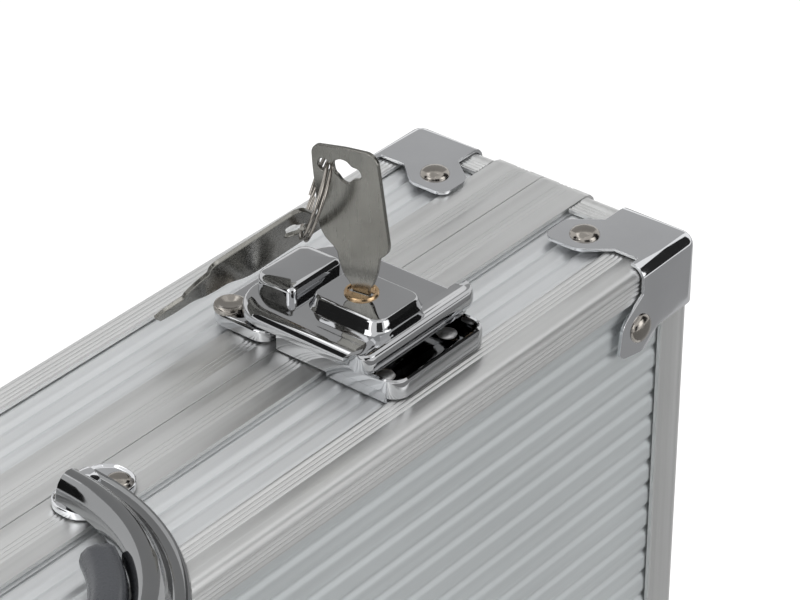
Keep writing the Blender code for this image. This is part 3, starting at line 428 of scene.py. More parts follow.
def asWorkpiece(shape):
    mesh = bpy.data.meshes.new("work")
    shape.to_mesh(mesh)
    shape.free()
    made = bpy.data.objects.new("work", mesh)
    bpy.context.scene.collection.objects.link(made)
    return made


def cutWith(shape, tool, operation="DIFFERENCE"):
    # Cuts one bmesh by another and gives the result as a new bmesh
    body, cutter = asWorkpiece(shape), asWorkpiece(tool)
    modifier = body.modifiers.new("cut", "BOOLEAN")
    modifier.operation = operation
    modifier.object = cutter
    modifier.solver = "EXACT"
    solved = body.evaluated_get(bpy.context.evaluated_depsgraph_get())
    result = bmesh.new()
    result.from_mesh(solved.to_mesh())
    solved.to_mesh_clear()
    for used in (body, cutter):
        mesh = used.data
        bpy.data.objects.remove(used)
        bpy.data.meshes.remove(mesh)
    return result


def easeEdges(shape, width, angle=35.0, segments=2, merge=0.002, flat=0.002):
    # Merges near points and flat faces, then rounds the edges sharper than the angle
    bmesh.ops.remove_doubles(shape, verts=shape.verts, dist=merge)
    bmesh.ops.dissolve_limit(shape, angle_limit=flat, verts=shape.verts, edges=shape.edges)
    sharp = [edge for edge in shape.edges
             if len(edge.link_faces) == 2 and edge.calc_face_angle() > math.radians(angle)]
    bmesh.ops.bevel(shape, geom=sharp, offset=width, segments=segments, profile=0.6,
                    affect="EDGES", clamp_overlap=True)


def addBlock(shape, low, high):
    made = bmesh.ops.create_cube(shape, size=1)["verts"]
    size = [b - a for a, b in zip(low, high)]
    middle = [(a + b) / 2 for a, b in zip(low, high)]
    matrix = Matrix.Translation(middle) @ Matrix.Diagonal((*size, 1))
    bmesh.ops.transform(shape, verts=made, matrix=matrix)
    return made


def faceOut(shape):
    bmesh.ops.recalc_face_normals(shape, faces=shape.faces)
    return shape


def paint(piece, material, body, *replaced):
    piece.data.materials.clear()
    piece.data.materials.append(material)
    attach(piece, body)
    if replaced:
        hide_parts(*replaced)


# Finishes: noise scales are per metre, bumps give their depth in millimetres and strength
satin = {
    "alongX": (6, 900, 900),
    "alongZ": (900, 900, 6),
    "cloudScale": 22.0,
    "speckScale": 2600.0,
    "lineShare": 0.55,
    "cloudShare": 0.45,
    "lineBump": (0.02, 0.1),
    "speckBump": (0.01, 0.2),
}


def makeSatinAluminium(name, dark, light, grain, rough):
    made, surface = newMaterial(name, metallic=1.0)
    grown = stretched(made, satin[grain]) if grain else alongMembers(made)
    lines = noise(made, grown, 1.0, detail=1.0)
    cloud = noise(made, place(made), satin["cloudScale"], detail=3.0)
    speck = noise(made, place(made), satin["speckScale"], detail=2.0)
    mixed = reckon(made, "ADD", reckon(made, "MULTIPLY", lines, satin["lineShare"]),
                   reckon(made, "MULTIPLY", cloud, satin["cloudShare"]))
    link(made, tint(made, spread(made, mixed, 0, 1), dark, light), surface.inputs["Base Color"])
    link(made, spread(made, mixed, *rough), surface.inputs["Roughness"])
    depth, strength = satin["lineBump"]
    first = bump(made, surface, lines, depth * mm, strength)
    depth, strength = satin["speckBump"]
    bump(made, surface, speck, depth * mm, strength, before=first)
    return made


def alongMembers(material):
    # Stretches the grain along each member of a frame: z on the end members, x on the others.
    # The mix node's sockets 4, 5 and output 1 are the ones for vectors
    where = place(material)
    split = addNode(material, "ShaderNodeSeparateXYZ")
    link(material, where, split.inputs[0])
    reachX = reckon(material, "SUBTRACT", reckon(material, "ABSOLUTE", split.outputs[0]), caseHalf)
    high = reckon(material, "SUBTRACT", split.outputs[2], caseMiddle)
    reachZ = reckon(material, "SUBTRACT", reckon(material, "ABSOLUTE", high), caseReach)
    onEnd = reckon(material, "GREATER_THAN", reachX, reachZ)
    pick = addNode(material, "ShaderNodeMix", data_type="VECTOR")
    link(material, onEnd, pick.inputs["Factor"])
    link(material, stretched(material, satin["alongX"], where), pick.inputs[4])
    link(material, stretched(material, satin["alongZ"], where), pick.inputs[5])
    return pick.outputs[1]


chrome = {
    "cloudScale": 60.0,
    "shade": 0.92,  # the darkest cloud's share of the colour
    "swirl": (260, 1300, 260),
    "swirlRange": (0.35, 0.75),
    "waveScale": 180.0,
    "wave": (0.06, 0.12),
}


def makeChrome(name, colour, rough):
    made, surface = newMaterial(name, metallic=1.0)
    cloud = noise(made, place(made), chrome["cloudScale"], detail=4.0)
    swirl = noise(made, stretched(made, chrome["swirl"]), 1.0, detail=5.0, rough=0.65)
    dark = tuple(chrome["shade"] * c for c in colour)
    link(made, tint(made, spread(made, cloud, 0, 1), dark, colour), surface.inputs["Base Color"])
    link(made, spread(made, swirl, *rough, *chrome["swirlRange"]), surface.inputs["Roughness"])
    depth, strength = chrome["wave"]
    wave = noise(made, place(made), chrome["waveScale"], detail=2.0)
    bump(made, surface, wave, depth * mm, strength)
    return made


nickel = {
    "cloudScale": 150.0,
    "shade": 0.82,
    "brush": (1500, 1500, 160),
    "brushBump": (0.02, 0.04),
}


def makeNickel(name, colour, rough):
    made, surface = newMaterial(name, metallic=1.0)
    cloud = noise(made, place(made), nickel["cloudScale"], detail=4.0)
    brush = noise(made, stretched(made, nickel["brush"]), 1.0, detail=4.0, rough=0.6)
    dark = tuple(nickel["shade"] * c for c in colour)
    link(made, tint(made, spread(made, cloud, 0, 1), dark, colour), surface.inputs["Base Color"])
    link(made, spread(made, brush, *rough), surface.inputs["Roughness"])
    depth, strength = nickel["brushBump"]
    bump(made, surface, brush, depth * mm, strength)
    return made


def makeMoulded(name, dark, light, rough, grainScale, depth, cloudScale=30.0, strength=0.6):
    made, surface = newMaterial(name)
    grain = noise(made, place(made), grainScale, detail=5.0, rough=0.6)
    cloud = noise(made, place(made), cloudScale, detail=2.0)
    link(made, tint(made, spread(made, cloud, 0, 1), dark, light), surface.inputs["Base Color"])
    link(made, spread(made, grain, *rough), surface.inputs["Roughness"])
    bump(made, surface, grain, depth * mm, strength)
    return made


# One aluminium on every panel, its colour set per face as painted light and shade: darker on the
# broad main faces (painted shade), lighter on the end faces (painted light), the front and rear in
# between.
ribbedAluminium = makeSatinAluminium(
    "ribbedAluminium", dark=(0.74, 0.755, 0.765), light=(0.82, 0.835, 0.845), grain="alongX",
    rough=(0.48, 0.6))
broadAluminiumPaintedShade = makeSatinAluminium(
    "broadAluminiumPaintedShade", dark=(0.68, 0.707, 0.715), light=(0.75, 0.777, 0.785), grain="alongX",
    rough=(0.62, 0.72))
uprightAluminiumPaintedLight = makeSatinAluminium(
    "uprightAluminiumPaintedLight", dark=(0.79, 0.805, 0.815), light=(0.87, 0.885, 0.895), grain="alongZ",
    rough=(0.6, 0.7))
satinExtrusion = makeSatinAluminium(
    "satinExtrusion", dark=(0.74, 0.745, 0.74), light=(0.82, 0.825, 0.82), grain=None,
    rough=(0.38, 0.48))
brightChrome = makeChrome("brightChrome", colour=(0.75, 0.76, 0.78), rough=(0.04, 0.11))
# The bail's chrome colour is darkened below the caps' chrome as painted shade, standing in for the
# dark reflections on its hump.
bailChromePaintedShade = makeChrome("bailChromePaintedShade", colour=(0.3, 0.305, 0.31), rough=(0.06, 0.12))
# The latch chrome is darkened below the caps' chrome as painted shade, standing in for the darker
# reflections on the latches.
latchChromePaintedShade = makeChrome("latchChromePaintedShade", colour=(0.51, 0.515, 0.525), rough=(0.03, 0.08))
warmNickel = makeNickel("warmNickel", colour=(0.37, 0.345, 0.315), rough=(0.12, 0.24))
keyNickel = makeNickel("keyNickel", colour=(0.26, 0.255, 0.235), rough=(0.2, 0.3))
keeperSteel = makeNickel("keeperSteel", colour=(0.62, 0.62, 0.62), rough=(0.42, 0.52))
lockBrass = makeNickel("lockBrass", colour=(0.66, 0.46, 0.27), rough=(0.18, 0.34))
gripPlastic = makeMoulded(
    "gripPlastic", dark=(0.05, 0.053, 0.06), light=(0.07, 0.074, 0.082), rough=(0.22, 0.34),
    grainScale=900.0, depth=0.03)
footRubber = makeMoulded(
    "footRubber", dark=(0.016, 0.016, 0.016), light=(0.026, 0.026, 0.026), rough=(0.6, 0.8),
    grainScale=1200.0, depth=0.05)
trayFoam = makeMoulded(
    "trayFoam", dark=(0.016, 0.016, 0.019), light=(0.03, 0.03, 0.034), rough=(0.85, 1.0),
    grainScale=1500.0, depth=0.2)
print("finishes made")


# The pins keep their own solids
for name in sorted(nodes):
    if "pin" in name:
        nodes[name].data.materials.clear()
        nodes[name].data.materials.append(warmNickel)


# Ribbed panels: rolled sheet with soft crests, one for each opening between the extrusions
panel = {
    "pitch": 5.3,
    "rib": 0.6,
    "crest": 0.25,  # the share of the pitch where the crest starts
    "steps": 12,
}


def ribDrop(share):
    # How far the sheet lies under its crests across one rib
    rise = min(max(min(share, 1 - share) / panel["crest"], 0), 1)
    return panel["rib"] * (0.5 + 0.5 * math.cos(math.pi * rise))


def ribbedSheet(name, alongAxis, acrossAxis, outward):
    # Built from the node's own box: ribs run along one axis and stack across the other
    low, high = (Vector(corner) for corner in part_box(name))
    faceAxis = 3 - alongAxis - acrossAxis
    width = high[acrossAxis] - low[acrossAxis]
    ribs = round(width / (panel["pitch"] * mm))
    face = high[faceAxis] if outward > 0 else low[faceAxis]
    back = low[faceAxis] if outward > 0 else high[faceAxis]
    line = []
    total = ribs * panel["steps"]
    for step in range(total + 1):
        share = step / panel["steps"] % 1
        line.append((low[acrossAxis] + width * step / total, face - outward * ribDrop(share) * mm))
    line += [(high[acrossAxis], back), (low[acrossAxis], back)]
    shape = bmesh.new()
    rings = []
    for end in (low[alongAxis], high[alongAxis]):
        ring = []
        for across, depth in line:
            point = Vector()
            point[alongAxis], point[acrossAxis], point[faceAxis] = end, across, depth
            ring.append(point)
        rings.append(ring)
    addLoft(shape, rings)
    return asObject(name + "_sheet", faceOut(shape), Matrix.Identity(4))


for half, outward in (("base", -1), ("lid", 1)):
    made = ribbedSheet(half + "_main_panel", 0, 2, outward)
    paint(made, broadAluminiumPaintedShade, half, half + "_main_panel")
    for side, along, facing, material in (
            ("front", 0, 1, ribbedAluminium), ("rear", 0, -1, ribbedAluminium),
            ("right", 2, 1, uprightAluminiumPaintedLight), ("left", 2, -1, uprightAluminiumPaintedLight)):
        name = half + "_" + side + "_panel"
        paint(ribbedSheet(name, along, 1, facing), material, half, name)
print("panels ribbed")


# Corner caps: stamped sheet folded round each corner, with a riveted tab on every face
cap = {
    "sheet": 0.7,
    "fold": 3.0,
    "reach": 28.0,
    "skirt": 3.2,
    "foldSteps": 7,
    "ease": 0.14,
    "easeFrom": 50.0,
    "sharp": 18.0,
    "tabRound": 1.6,
    "frontTab": ((15.6, 8.7), (20.1, 13.9), (20.1, 20.7), (18.6, 22.2), (12.6, 22.2), (8.0, 16.2)),
    "nearTab": ((17.8, 5.8), (24.1, 10.0), (24.9, 16.0), (23.6, 17.2), (17.1, 18.5), (12.6, 15.0)),
    "endTab": ((16.2, 8.2), (19.5, 12.5), (19.5, 17.5), (18.0, 19.0), (13.5, 19.0), (9.5, 15.0)),
    "rivets": (((15.0, 16.0, 0), (0, 0, -1)), ((18.6, 0, 12.7), (0, -1, 0)),
               ((0, 14.8, 13.8), (-1, 0, 0))),
    "rivet": ((2.9, -0.4), (2.95, 0.12), (2.85, 0.45), (2.5, 0.85), (1.9, 1.18), (1.1, 1.4),
              (0.35, 1.48)),
}


def capTool(tab, axes):
    # A tab's outline closed past the case's corner, rounded and raised into a block
    edge = -cap["fold"]
    rounded = roundOff(tab, cap["tabRound"])
    outline = [(edge, edge), (tab[0][0], edge), *rounded, (edge, tab[-1][1])]
    shape = bmesh.new()
    rings = []
    for depth in (edge, cap["skirt"]):
        ring = []
        for first, second in outline:
            point = Vector()
            point[axes[0]], point[axes[1]], point[axes[2]] = first, second, depth
            ring.append(point)
        rings.append(ring)
    addLoft(shape, rings)
    return faceOut(shape)


def roundOff(points, radius, steps=5, most=0.45):
    # Rounds each inner corner of an open line, over no more than that share of a side
    line = [points[0]]
    for before, here, after in zip(points, points[1:], points[2:]):
        here = Vector(here)
        one, two = Vector(before) - here, Vector(after) - here
        bend = min(radius, one.length * most, two.length * most)
        start, end = here + one.normalized() * bend, here + two.normalized() * bend
        for step in range(steps + 1):
            t = step / steps
            line.append(tuple((1 - t) ** 2 * start + 2 * t * (1 - t) * here + t * t * end))
    return line + [points[-1]]


def cornerBlock(inset):
    # A cube with the edges that meet at the case's corner rounded
    shape = bmesh.new()
    reach = cap["reach"]
    addBlock(shape, (inset, inset, inset), (reach, reach, reach + inset))
    near = [edge for edge in shape.edges
            if all(sum(abs(c - inset) < tiny for c in v.co) >= 2 for v in edge.verts)]
    bmesh.ops.bevel(shape, geom=near, offset=cap["fold"] - inset,
                    segments=cap["foldSteps"], profile=0.5, affect="EDGES")
    return shape


def cornerCap():
    shell = cutWith(cornerBlock(0), cornerBlock(cap["sheet"]))
    tabs = capTool(cap["frontTab"], (0, 1, 2))
    tabs = cutWith(tabs, capTool(cap["nearTab"], (0, 2, 1)), "UNION")
    tabs = cutWith(tabs, capTool(cap["endTab"], (1, 2, 0)), "UNION")
    shell = cutWith(shell, tabs, "INTERSECT")
    easeEdges(shell, cap["ease"], cap["easeFrom"])
    return shell


capShape = cornerCap()
capSheet = bpy.data.meshes.new("capSheet")
capShape.to_mesh(capSheet)
capShape.free()
for half, inward in (("base", 1), ("lid", -1)):
    for level, sideZ in (("front", 1), ("rear", -1)):
        for end, sideX in (("right", 1), ("left", -1)):
            name = "_".join((half, level, end, "cap"))
            flip = Matrix.Diagonal((-sideX, inward, -sideZ, 1))
            faces = (sideX * caseHalf, nearPlace if inward > 0 else nearPlace + caseDepth,
                     faceTop if sideZ > 0 else faceTop - 2 * caseReach)
            space = Matrix.Translation(faces) @ flip @ Matrix.Scale(mm, 4)
            shape = bmesh.new()
            shape.from_mesh(capSheet)
            paint(asObject(name + "_sheet", shape, space, cap["sharp"]), brightChrome, half, name)
            shape = bmesh.new()
            for centre, direction in cap["rivets"]:
                addTurned(shape, centre, direction, cap["rivet"])
            paint(asObject(name + "_rivets", faceOut(shape), space), warmNickel, half)
bpy.data.meshes.remove(capSheet)
print("corner caps folded")


# Latches: keeper on the base, plate and lever on the lid, lock cylinder in the lever's housing
keeper = {
    "half": 13.2,
    "near": 8.2,
    "far": 35.9,
    "round": 3.5,
    "roundSteps": 8,
    "straight": 6,  # the wall's straight length behind each round
    "wall": ((0.0, -0.7), (-0.05, 2.2), (0.1, 2.75), (0.45, 3.0), (0.8, 2.8), (0.9, 2.3),
             (0.9, 0.1)),
    "floor": 0.2,
    "floorInset": 0.3,
    "floorDepth": -0.68,
    "skirt": (-13.23, 13.23, 10.5, 24.8),
    "skirtRounds": (0.6, 0.6),
    "skirtProfile": ((0.5, -1.8), (0.12, -1.7), (0, -1.4), (0, 0.4)),
    "rivets": (8.8, 14.5),
}
smallRivet = ((1.9, -0.3), (1.92, 0.15), (1.75, 0.42), (1.3, 0.66), (0.7, 0.78), (0.2, 0.8))


def addStrip(shape, path, section):
    # A strip bent along a flat path: section points are (inwards, up) from the path's left side
    rings = []
    for i, (x, y) in enumerate(path):
        ahead = Vector(path[min(i + 1, len(path) - 1)]) - Vector(path[max(i - 1, 0)])
        inwards = Vector((-ahead.y, ahead.x)).normalized()
        rings.append([(x + inwards.x * step, y + inwards.y * step, up) for step, up in section])
    addLoft(shape, rings)


def makeKeeper():
    half, near, far, bend = keeper["half"], keeper["near"], keeper["far"], keeper["round"]
    steps, behind = keeper["roundSteps"], near + bend + keeper["straight"]
    path = [(-half, far), (-half, behind)]
    for middleX, start in ((-half + bend, 180), (half - bend, 270)):
        for step in range(steps + 1):
            turn = math.radians(start + 90 * step / steps)
            path.append((middleX + bend * math.cos(turn), near + bend + bend * math.sin(turn)))
    path += [(half, behind), (half, far)]
    shape = bmesh.new()
    addStrip(shape, path, keeper["wall"])
    addPressed(shape, keeper["skirt"], keeper["skirtRounds"], keeper["skirtProfile"])
    return faceOut(shape)


def makeKeeperFloor():
    inset, floor = keeper["floorInset"], keeper["floor"]
    half = keeper["half"] - inset
    shape = bmesh.new()
    profile = ((0, keeper["floorDepth"]), (0, floor), (inset, floor))
    addPressed(shape, (-half, half, keeper["near"] + inset, keeper["far"]),
               (keeper["round"] - inset, 0), profile)
    across, deep = keeper["rivets"]
    for side in (-1, 1):
        addTurned(shape, (side * across, deep, floor), (0, 0, 1), smallRivet, steps=24)
    return faceOut(shape)


plate = {
    "box": (-13.5, 13.5, 37.8, 52.3),
    "rounds": (3.5, 3.5),
    "profile": ((1.2, -0.7), (0.0, -0.7), (0.0, 1.0), (0.12, 1.4), (0.45, 1.65), (1.0, 1.7),
                (2.2, 1.5), (3.2, 1.45)),
    "rivets": (10.4, 49.2, 1.55),
    "dish": ((3.1, -0.1), (3.15, 0.55), (2.95, 0.95), (2.6, 1.1), (2.25, 1.0), (1.5, 0.62),
             (0.8, 0.46), (0.2, 0.42)),
    "pivot": (0, 45.0, 4.2),  # the middle of the lever's pin
    "post": (-4, 4, 43.6, 46.4),
    "postRounds": (0.3, 0.3),
    "postProfile": ((0, 1.2), (0, 3.0), (0.05, 3.8)),
    "knuckle": ((1.2, -4.0), (1.75, -4.0), (1.9, -3.8), (1.9, 3.8), (1.75, 4.0), (1.2, 4.0)),
}


def makePlate():
    shape = bmesh.new()
    addPressed(shape, plate["box"], plate["rounds"], plate["profile"])
    addPressed(shape, plate["post"], plate["postRounds"], plate["postProfile"])
    addTurned(shape, plate["pivot"], (1, 0, 0), plate["knuckle"], steps=28)
    return faceOut(shape)


def makePlateRivets():
    shape = bmesh.new()
    across, deep, up = plate["rivets"]
    for side in (-1, 1):
        addTurned(shape, (side * across, deep, up), (0, 0, 1), plate["dish"])
    return faceOut(shape)


lever = {
    "cover": (-14.7, 14.7, 13.1, 47.0),
    "rounds": (3.0, 8.0),
    # inwards and up, from the hollow underneath out over the rolled edge to the top
    "profile": ((3.0, 5.2), (1.5, 5.1), (1.2, 3.5), (0.9, 3.4), (0.3, 3.4), (0.0, 3.6),
                (-0.05, 4.4), (0.15, 5.2), (0.55, 5.8), (1.1, 6.12), (1.8, 6.2), (2.8, 6.1),
                (4.2, 5.85), (5.2, 5.8)),
    # the finger lip's cut, depth and height, and its half width and corner
    "lip": ((12.75, 4.9), (12.6, 5.8), (12.65, 6.8), (12.95, 7.5), (13.45, 7.75), (14.1, 7.6),
            (15.2, 6.95), (16.4, 6.4), (18.2, 6.12), (18.2, 5.2), (16.0, 5.0), (14.6, 4.5),
            (13.7, 4.0), (13.1, 4.1)),
    "lipHalf": 15.7,
    "lipRound": 2.6,
    "lipAngles": (0, 20, 40, 60, 75, 90),
    "housing": (-6.9, 7.1, 17.2, 34.8),
    "housingRounds": (3.4, 3.4),
    "housingProfile": ((-0.5, 5.7), (-0.12, 6.2), (0.05, 6.45), (0.12, 6.6), (0.62, 7.85),
                       (0.72, 8.05), (0.9, 8.25), (1.15, 8.37), (1.5, 8.4), (3.2, 8.4)),
    "nose": (-7.4, 7.0, 37.0, 46.7),
    "noseRounds": (1.4, 3.0),
    "noseProfile": ((1.0, 3.5), (0.15, 3.4), (0.0, 3.7), (0.0, 7.0), (0.1, 7.55), (0.35, 8.05),
                    (0.8, 8.4), (1.5, 8.65), (2.4, 8.88), (3.4, 9.02), (4.4, 9.08)),
    "hook": ((-3.0, 20.5, 2.2), (3.0, 21.8, 5.6)),
    "hookEase": 0.25,
}


def addLip(shape):
    # The lip's cut carried across the lever, drawn back round its two corners
    half, bend = lever["lipHalf"], lever["lipRound"]
    back = max(deep for deep, up in lever["lip"])
    front = min(deep for deep, up in lever["lip"])
    ins = [bend * (1 - math.cos(math.radians(angle))) for angle in lever["lipAngles"]]
    places = [-half + step for step in ins] + [half - step for step in reversed(ins)]
    rings = []
    for x in places:
        draw = bend - math.sqrt(max(bend ** 2 - max(abs(x) - half + bend, 0) ** 2, 0))
        rings.append([(x, deep + draw * (back - deep) / (back - front), up)
                      for deep, up in lever["lip"]])
    addLoft(shape, rings)


def makeLever():
    shape = bmesh.new()
    addPressed(shape, lever["cover"], lever["rounds"], lever["profile"], steps=9)
    addLip(shape)
    addPressed(shape, lever["housing"], lever["housingRounds"], lever["housingProfile"])
    addPressed(shape, lever["nose"], lever["noseRounds"], lever["noseProfile"])
    hook = bmesh.new()
    addBlock(hook, *lever["hook"])
    easeEdges(hook, lever["hookEase"], segments=3)
    joinInto(shape, hook)
    return faceOut(shape)


def joinInto(shape, other):
    mesh = bpy.data.meshes.new("joined")
    other.to_mesh(mesh)
    other.free()
    shape.from_mesh(mesh)
    bpy.data.meshes.remove(mesh)


lock = {
    "deep": 27.0,
    "barrel": ((2.6, -6.0), (3.2, -6.0), (3.2, -0.3), (3.05, -0.06), (2.85, 0.0), (2.6, -0.05),
               (2.45, -0.3), (2.4, -0.35), (0.8, -0.35)),
    "top": 8.9,
    "cam": (-2.2, 2.2, 18.5, 29.2),
    "camRounds": (1.3, 1.3),
    "camProfile": ((0.3, 0.5), (0.0, 0.7), (0.0, 1.9), (0.3, 2.1)),
    "keyway": ((-2.6, -0.75, -6.3), (2.6, 0.75, 1.0)),
    "ease": 0.08,
    "easeFrom": 50.0,
}


def makeLock():
    shape = bmesh.new()
    addTurned(shape, (0, lock["deep"], lock["top"]), (0, 0, 1), lock["barrel"], steps=40)
    slot = bmesh.new()
    cutter = addBlock(slot, *lock["keyway"])
    turn = Matrix.Rotation(key["bearing"] - math.pi / 2, 4, "Z")
    middle = Matrix.Translation((0, lock["deep"], lock["top"]))
    bmesh.ops.transform(slot, verts=cutter, matrix=middle @ turn)
    shape = cutWith(faceOut(shape), slot)
    easeEdges(shape, lock["ease"], lock["easeFrom"])
    cam = bmesh.new()
    addPressed(cam, lock["cam"], lock["camRounds"], lock["camProfile"])
    joinInto(shape, faceOut(cam))
    return shape


# Keys: stamped nickel, one in the right lock and its spare on the same split ring
key = {
    "bearing": math.radians(9),
    "lean": math.radians(7),
    "thick": 0.9,
    "edge": 0.16,
    "round": 0.7,
    "sharp": 12.0,
    "tip": 6.0,  # the blade's length in the lock
    "left": ((-1.1, -6.0), (-1.7, -3.4), (-1.7, 0.5), (-2.1, 1.5), (-3.1, 2.8), (-3.7, 5.1),
             (-3.9, 7.4), (-4.5, 8.3), (-6.0, 9.8), (-6.8, 11.3), (-7.05, 13.3), (-6.85, 17.6),
             (-6.8, 24.0), (-6.6, 27.3), (-5.6, 28.4)),
    "right": ((0.4, 28.5), (5.2, 28.2), (6.3, 27.5), (6.9, 26.4), (7.0, 22.9), (7.1, 16.7),
              (7.2, 10.1), (6.9, 8.9), (6.1, 8.1), (4.9, 7.3), (4.6, 6.2), (4.0, 4.1), (2.6, 1.2),
              (1.7, 0.5), (1.7, -3.4), (1.1, -6.0)),
    "lobes": ((-2.3, 25.3), (-1.0, 26.1), (0.4, 25.9), (1.4, 25.0), (2.7, 24.6), (3.2, 23.6),
              (2.8, 22.9), (1.4, 22.5), (0.3, 21.6), (-0.8, 21.8), (-1.7, 22.9), (-2.3, 23.6)),
    "hole": (-4.35, 24.6, 1.25),
    "spareTip": (101.2, 54.6, 3.7),
    "spareFace": (-0.2477, -0.8091, -0.533),
}
ringHole = Vector((-3.3, 0, 24.6))  # where the ring touches the key's hole
splitRing = {
    "drop": (-1.2, 5.3, -14.8),
    "twist": math.radians(-26),
    "wire": 0.34,
    "apart": 0.42,
    "start": 0.9,
    "crossing": 9,  # how steeply the wire passes from one strand to the other
    "steps": 72,
}
keyTurn = (Matrix.Rotation(key["bearing"] - math.pi / 2, 4, "Z")
           @ Matrix.Rotation(-key["lean"], 4, "Y"))
keyPlace = Matrix.Translation((latchPlace / mm, lock["deep"], lock["top"])) @ keyTurn
ringTop = keyPlace @ ringHole
ringDrop = Vector(splitRing["drop"])
ringLow = ringTop + ringDrop


def sparePlace():
    # The spare hangs from the ring's low side with its tip on the lid
    rise = (ringLow - Vector(key["spareTip"])).normalized()
    face = Vector(key["spareFace"])
    normal = (face - face.dot(rise) * rise).normalized()
    across = normal.cross(rise)
    basis = Matrix((across, normal, rise)).transposed().to_4x4()
    lean = math.atan2(-ringHole.x, ringHole.z + key["tip"])
    swing = Matrix.Rotation(lean, 4, "Y")
    return Matrix.Translation(ringLow) @ basis @ swing @ Matrix.Translation(-ringHole)


def makeKey(name, place):
    # The sheet is drawn flat, then stood up: across stays x, up turns from y to z
    outline = roundOff([*key["left"], *key["right"]], key["round"], steps=3)
    holes = [smoothLoop(key["lobes"]), circle(*key["hole"])]
    shape = stamped(outline, holes, key["thick"], key["edge"])
    stand = Matrix.Rotation(math.pi / 2, 4, "X")
    return asObject(name, shape, caseSpace @ place @ stand, key["sharp"])


def makeRing():
    # Two turns of wire side by side, from the first key's hole down to the spare's
    axis = Matrix.Rotation(splitRing["twist"], 3, ringDrop) @ ringDrop.cross(
        keyTurn.to_3x3() @ Vector((0, 1, 0))).normalized()
    middle, radius = ringTop + ringDrop / 2, ringDrop.length / 2
    out = ringDrop.normalized()
    side = axis.cross(out)
    path = []
    for step in range(2 * splitRing["steps"] + 1):
        turn = math.tau * step / splitRing["steps"] + splitRing["start"]
        share = step / splitRing["steps"] - 1
        lift = splitRing["apart"] * max(-1, min(1, share * splitRing["crossing"]))
        spoke = math.cos(turn) * out + math.sin(turn) * side
        path.append(middle + radius * spoke + axis * lift)
    shape = bmesh.new()
    addTube(shape, path, splitRing["wire"])
    return asObject("split_ring", faceOut(shape))


for end, side in (("right", 1), ("left", -1)):
    space = caseSpace @ Matrix.Translation((side * latchPlace / mm, 0, 0))
    for piece, make, material, body, *replaced in (
            ("keeper_", makeKeeper, latchChromePaintedShade, "base", "latch_keeper_" + end),
            ("keeper_floor_", makeKeeperFloor, keeperSteel, "base"),
            ("hinge_plate_", makePlate, latchChromePaintedShade, "lid", "latch_hinge_plate_" + end),
            ("plate_rivets_", makePlateRivets, warmNickel, "lid"),
            ("lever_", makeLever, latchChromePaintedShade, "lever_" + end, "latch_lever_" + end),
            ("cylinder_", makeLock, lockBrass, "lock_" + end, "lock_cylinder_" + end)):
        paint(asObject(piece + end, make(), space), material, body, *replaced)
paint(makeKey("door_key", keyPlace), keyNickel, "key", "key")
paint(makeKey("spare", sparePlace()), keyNickel, "spare_key", "spare_key")
paint(makeRing(), warmNickel, "ring", "key_ring")
print("latches, locks and keys made")


# Handle: a rolled steel bow with a grip inside it, on two riveted brackets
handle = {
    "pivot": (56.9, 30.7),
    "radius": 44.5,
    "arcY": 33.0,
    "tail": 2.0,
    "steps": 28,
    "bowStart": 5.6,
    "bowMiddle": 89.999,  # just short of 90, so that each half keeps its own side
    # outwards and up round the bow's cut
    "section": ((5.0, 0.5), (5.0, 1.7), (4.75, 2.15), (4.35, 2.2), (4.0, 1.9), (3.6, 1.75),
                (2.5, 1.85), (1.9, 2.3), (1.3, 3.4), (0.5, 4.5), (-0.6, 5.25), (-1.8, 5.4),
                (-3.0, 5.0), (-4.0, 4.0), (-4.6, 2.6), (-4.75, 0.9), (-4.1, 0.9), (-3.95, 2.4),
                (-3.4, 3.6), (-2.6, 4.3), (-1.7, 4.6), (-0.7, 4.4), (0.1, 3.7), (0.8, 2.6),
                (1.5, 1.4), (2.4, 1.0), (4.3, 1.0), (4.4, 0.5)),
    "gripStart": 30,
    "gripEnds": ((0.7, 0.85), (1.6, 0.55)),  # degrees past the end and the section's share there
    "gripSection": ((-5.1, 0.8), (-5.0, 2.6), (-5.5, 4.0), (-6.6, 4.9), (-8.4, 5.2), (-10.2, 4.9),
                    (-11.2, 4.0), (-11.6, 2.6), (-11.5, 1.4), (-10.8, 0.8)),
}


def bowPoint(turn, out, up):
    # Angle 0 is the right arm, 90 the middle of the bow and 180 the left arm
    reach = handle["radius"] + out
    middle = handle["pivot"][0] - handle["radius"]
    angle = math.radians(turn)
    return Vector((math.copysign(middle, 90 - turn) + reach * math.cos(angle),
                   handle["arcY"] - reach * math.sin(angle), up))


def bowRings(section, first):
    steps, last = handle["steps"], handle["bowMiddle"]
    turns = [first + (last - first) * step / steps for step in range(steps + 1)]
    turns += [180 - turn for turn in reversed(turns)]
    return [[bowPoint(turn, out, up) for out, up in section] for turn in turns]


def makeBail():
    x, y = handle["pivot"]
    rings = bowRings(handle["section"], handle["bowStart"])
    tails = [[(sign * (x + out), y + handle["tail"], up) for out, up in handle["section"]]
             for sign in (1, -1)]
    shape = bmesh.new()
    addLoft(shape, [tails[0], *rings, tails[1]])
    return asObject("bail", faceOut(shape))


def makeGrip():
    shape = bmesh.new()
    first, section = handle["gripStart"], handle["gripSection"]
    rings = bowRings(section, first)
    middleOut = sum(out for out, up in section) / len(section)
    middleUp = sum(up for out, up in section) / len(section)
    for away, share in handle["gripEnds"]:
        drawn = [(middleOut + (out - middleOut) * share, middleUp + (up - middleUp) * share)
                 for out, up in section]
        rings.insert(0, [bowPoint(first - away, out, up) for out, up in drawn])
        rings.append([bowPoint(180 - first + away, out, up) for out, up in drawn])
    addLoft(shape, rings)
    return asObject("grip", faceOut(shape))


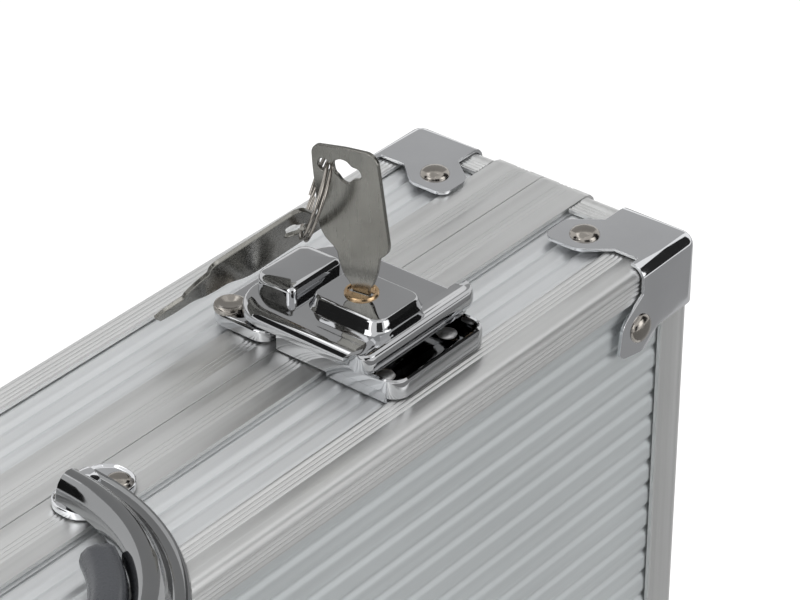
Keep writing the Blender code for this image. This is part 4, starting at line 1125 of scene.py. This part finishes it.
bracket = {
    "box": (51.3, 66.9, 25.6, 35.6),
    "rounds": (4.4, 4.4),
    "profile": ((1.0, -0.7), (0.0, -0.7), (0.0, 0.35), (0.08, 0.5), (0.25, 0.58), (0.45, 0.5),
                (0.6, 0.3), (0.8, 0.22), (2.6, 0.2)),
    # the loop's cut: radius and place along the pivot
    "loop": ((1.55, -1.9), (2.3, -1.9), (2.4, -1.75), (2.4, 1.75), (2.3, 1.9), (1.55, 1.9)),
    "loopUp": 2.6,
    "loopSteps": 32,
    "foot": (55.0, 58.8, 29.4, 32.0),
    "footRounds": (0.3, 0.3),
    "footProfile": ((0, 0), (0, 0.7), (0.2, 0.9)),
    "rivet": (63.6, 29.2, 0.25),
    "rivetScale": (1.15, 1.25),
}


def makeBracket():
    shape = bmesh.new()
    addPressed(shape, bracket["box"], bracket["rounds"], bracket["profile"])
    x, y = handle["pivot"]
    rings = []
    for step in range(bracket["loopSteps"]):
        angle = math.tau * step / bracket["loopSteps"]
        rings.append([(x + along, y + radius * math.cos(angle),
                       bracket["loopUp"] + radius * math.sin(angle))
                      for radius, along in bracket["loop"]])
    addLoft(shape, rings, closed=True)
    addPressed(shape, bracket["foot"], bracket["footRounds"], bracket["footProfile"])
    return faceOut(shape)


def makeBracketRivet():
    shape = bmesh.new()
    wide, tall = bracket["rivetScale"]
    profile = [(wide * radius, tall * up) for radius, up in smallRivet]
    addTurned(shape, bracket["rivet"], (0, 0, 1), profile, steps=28)
    return faceOut(shape)


paint(makeBail(), bailChromePaintedShade, "handle", "handle_bail")
paint(makeGrip(), gripPlastic, "handle", "handle_grip")
for end, side in (("right", 1), ("left", -1)):
    space = caseSpace @ Matrix.Diagonal((side, 1, 1, 1))
    paint(asObject("bracket_" + end, makeBracket(), space), brightChrome, "base",
          "handle_bracket_" + end)
    paint(asObject("bracket_rivet_" + end, makeBracketRivet(), space), warmNickel, "base")
print("handle made")


# Feet, hinge leaves, extrusions and foam: a copy of the node's own form with its edges eased
easing = {  # width and segments
    "foot": (0.35, 3),
    "hinge_leaf": (0.2, 2),
    "extrusion": (0.04, 1),
    "tray": (0.6, 3),
    "pad": (0.8, 3),
}


def paintEased(name, kind, material, body):
    shape = bmesh.new()
    shape.from_mesh(nodes[name].data)
    shape.transform(Matrix.Scale(1 / mm, 4))
    width, segments = easing[kind]
    easeEdges(shape, width, segments=segments)
    paint(asObject(name + "_eased", shape, Matrix.Scale(mm, 4)), material, body, name)


for kind, material in (("foot", footRubber), ("hinge_leaf", warmNickel)):
    for half in ("base", "lid"):
        for end in ("left", "right"):
            paintEased("_".join((half, kind, end)), kind, material, half)
for name in sorted(nodes):
    if name.endswith(("_angle", "_frame")):
        paintEased(name, "extrusion", satinExtrusion, name.split("_")[0])
paintEased("chip_tray", "tray", trayFoam, "base")
paintEased("lid_pad", "pad", trayFoam, "lid")
print("feet, hinges, extrusions and foam eased")
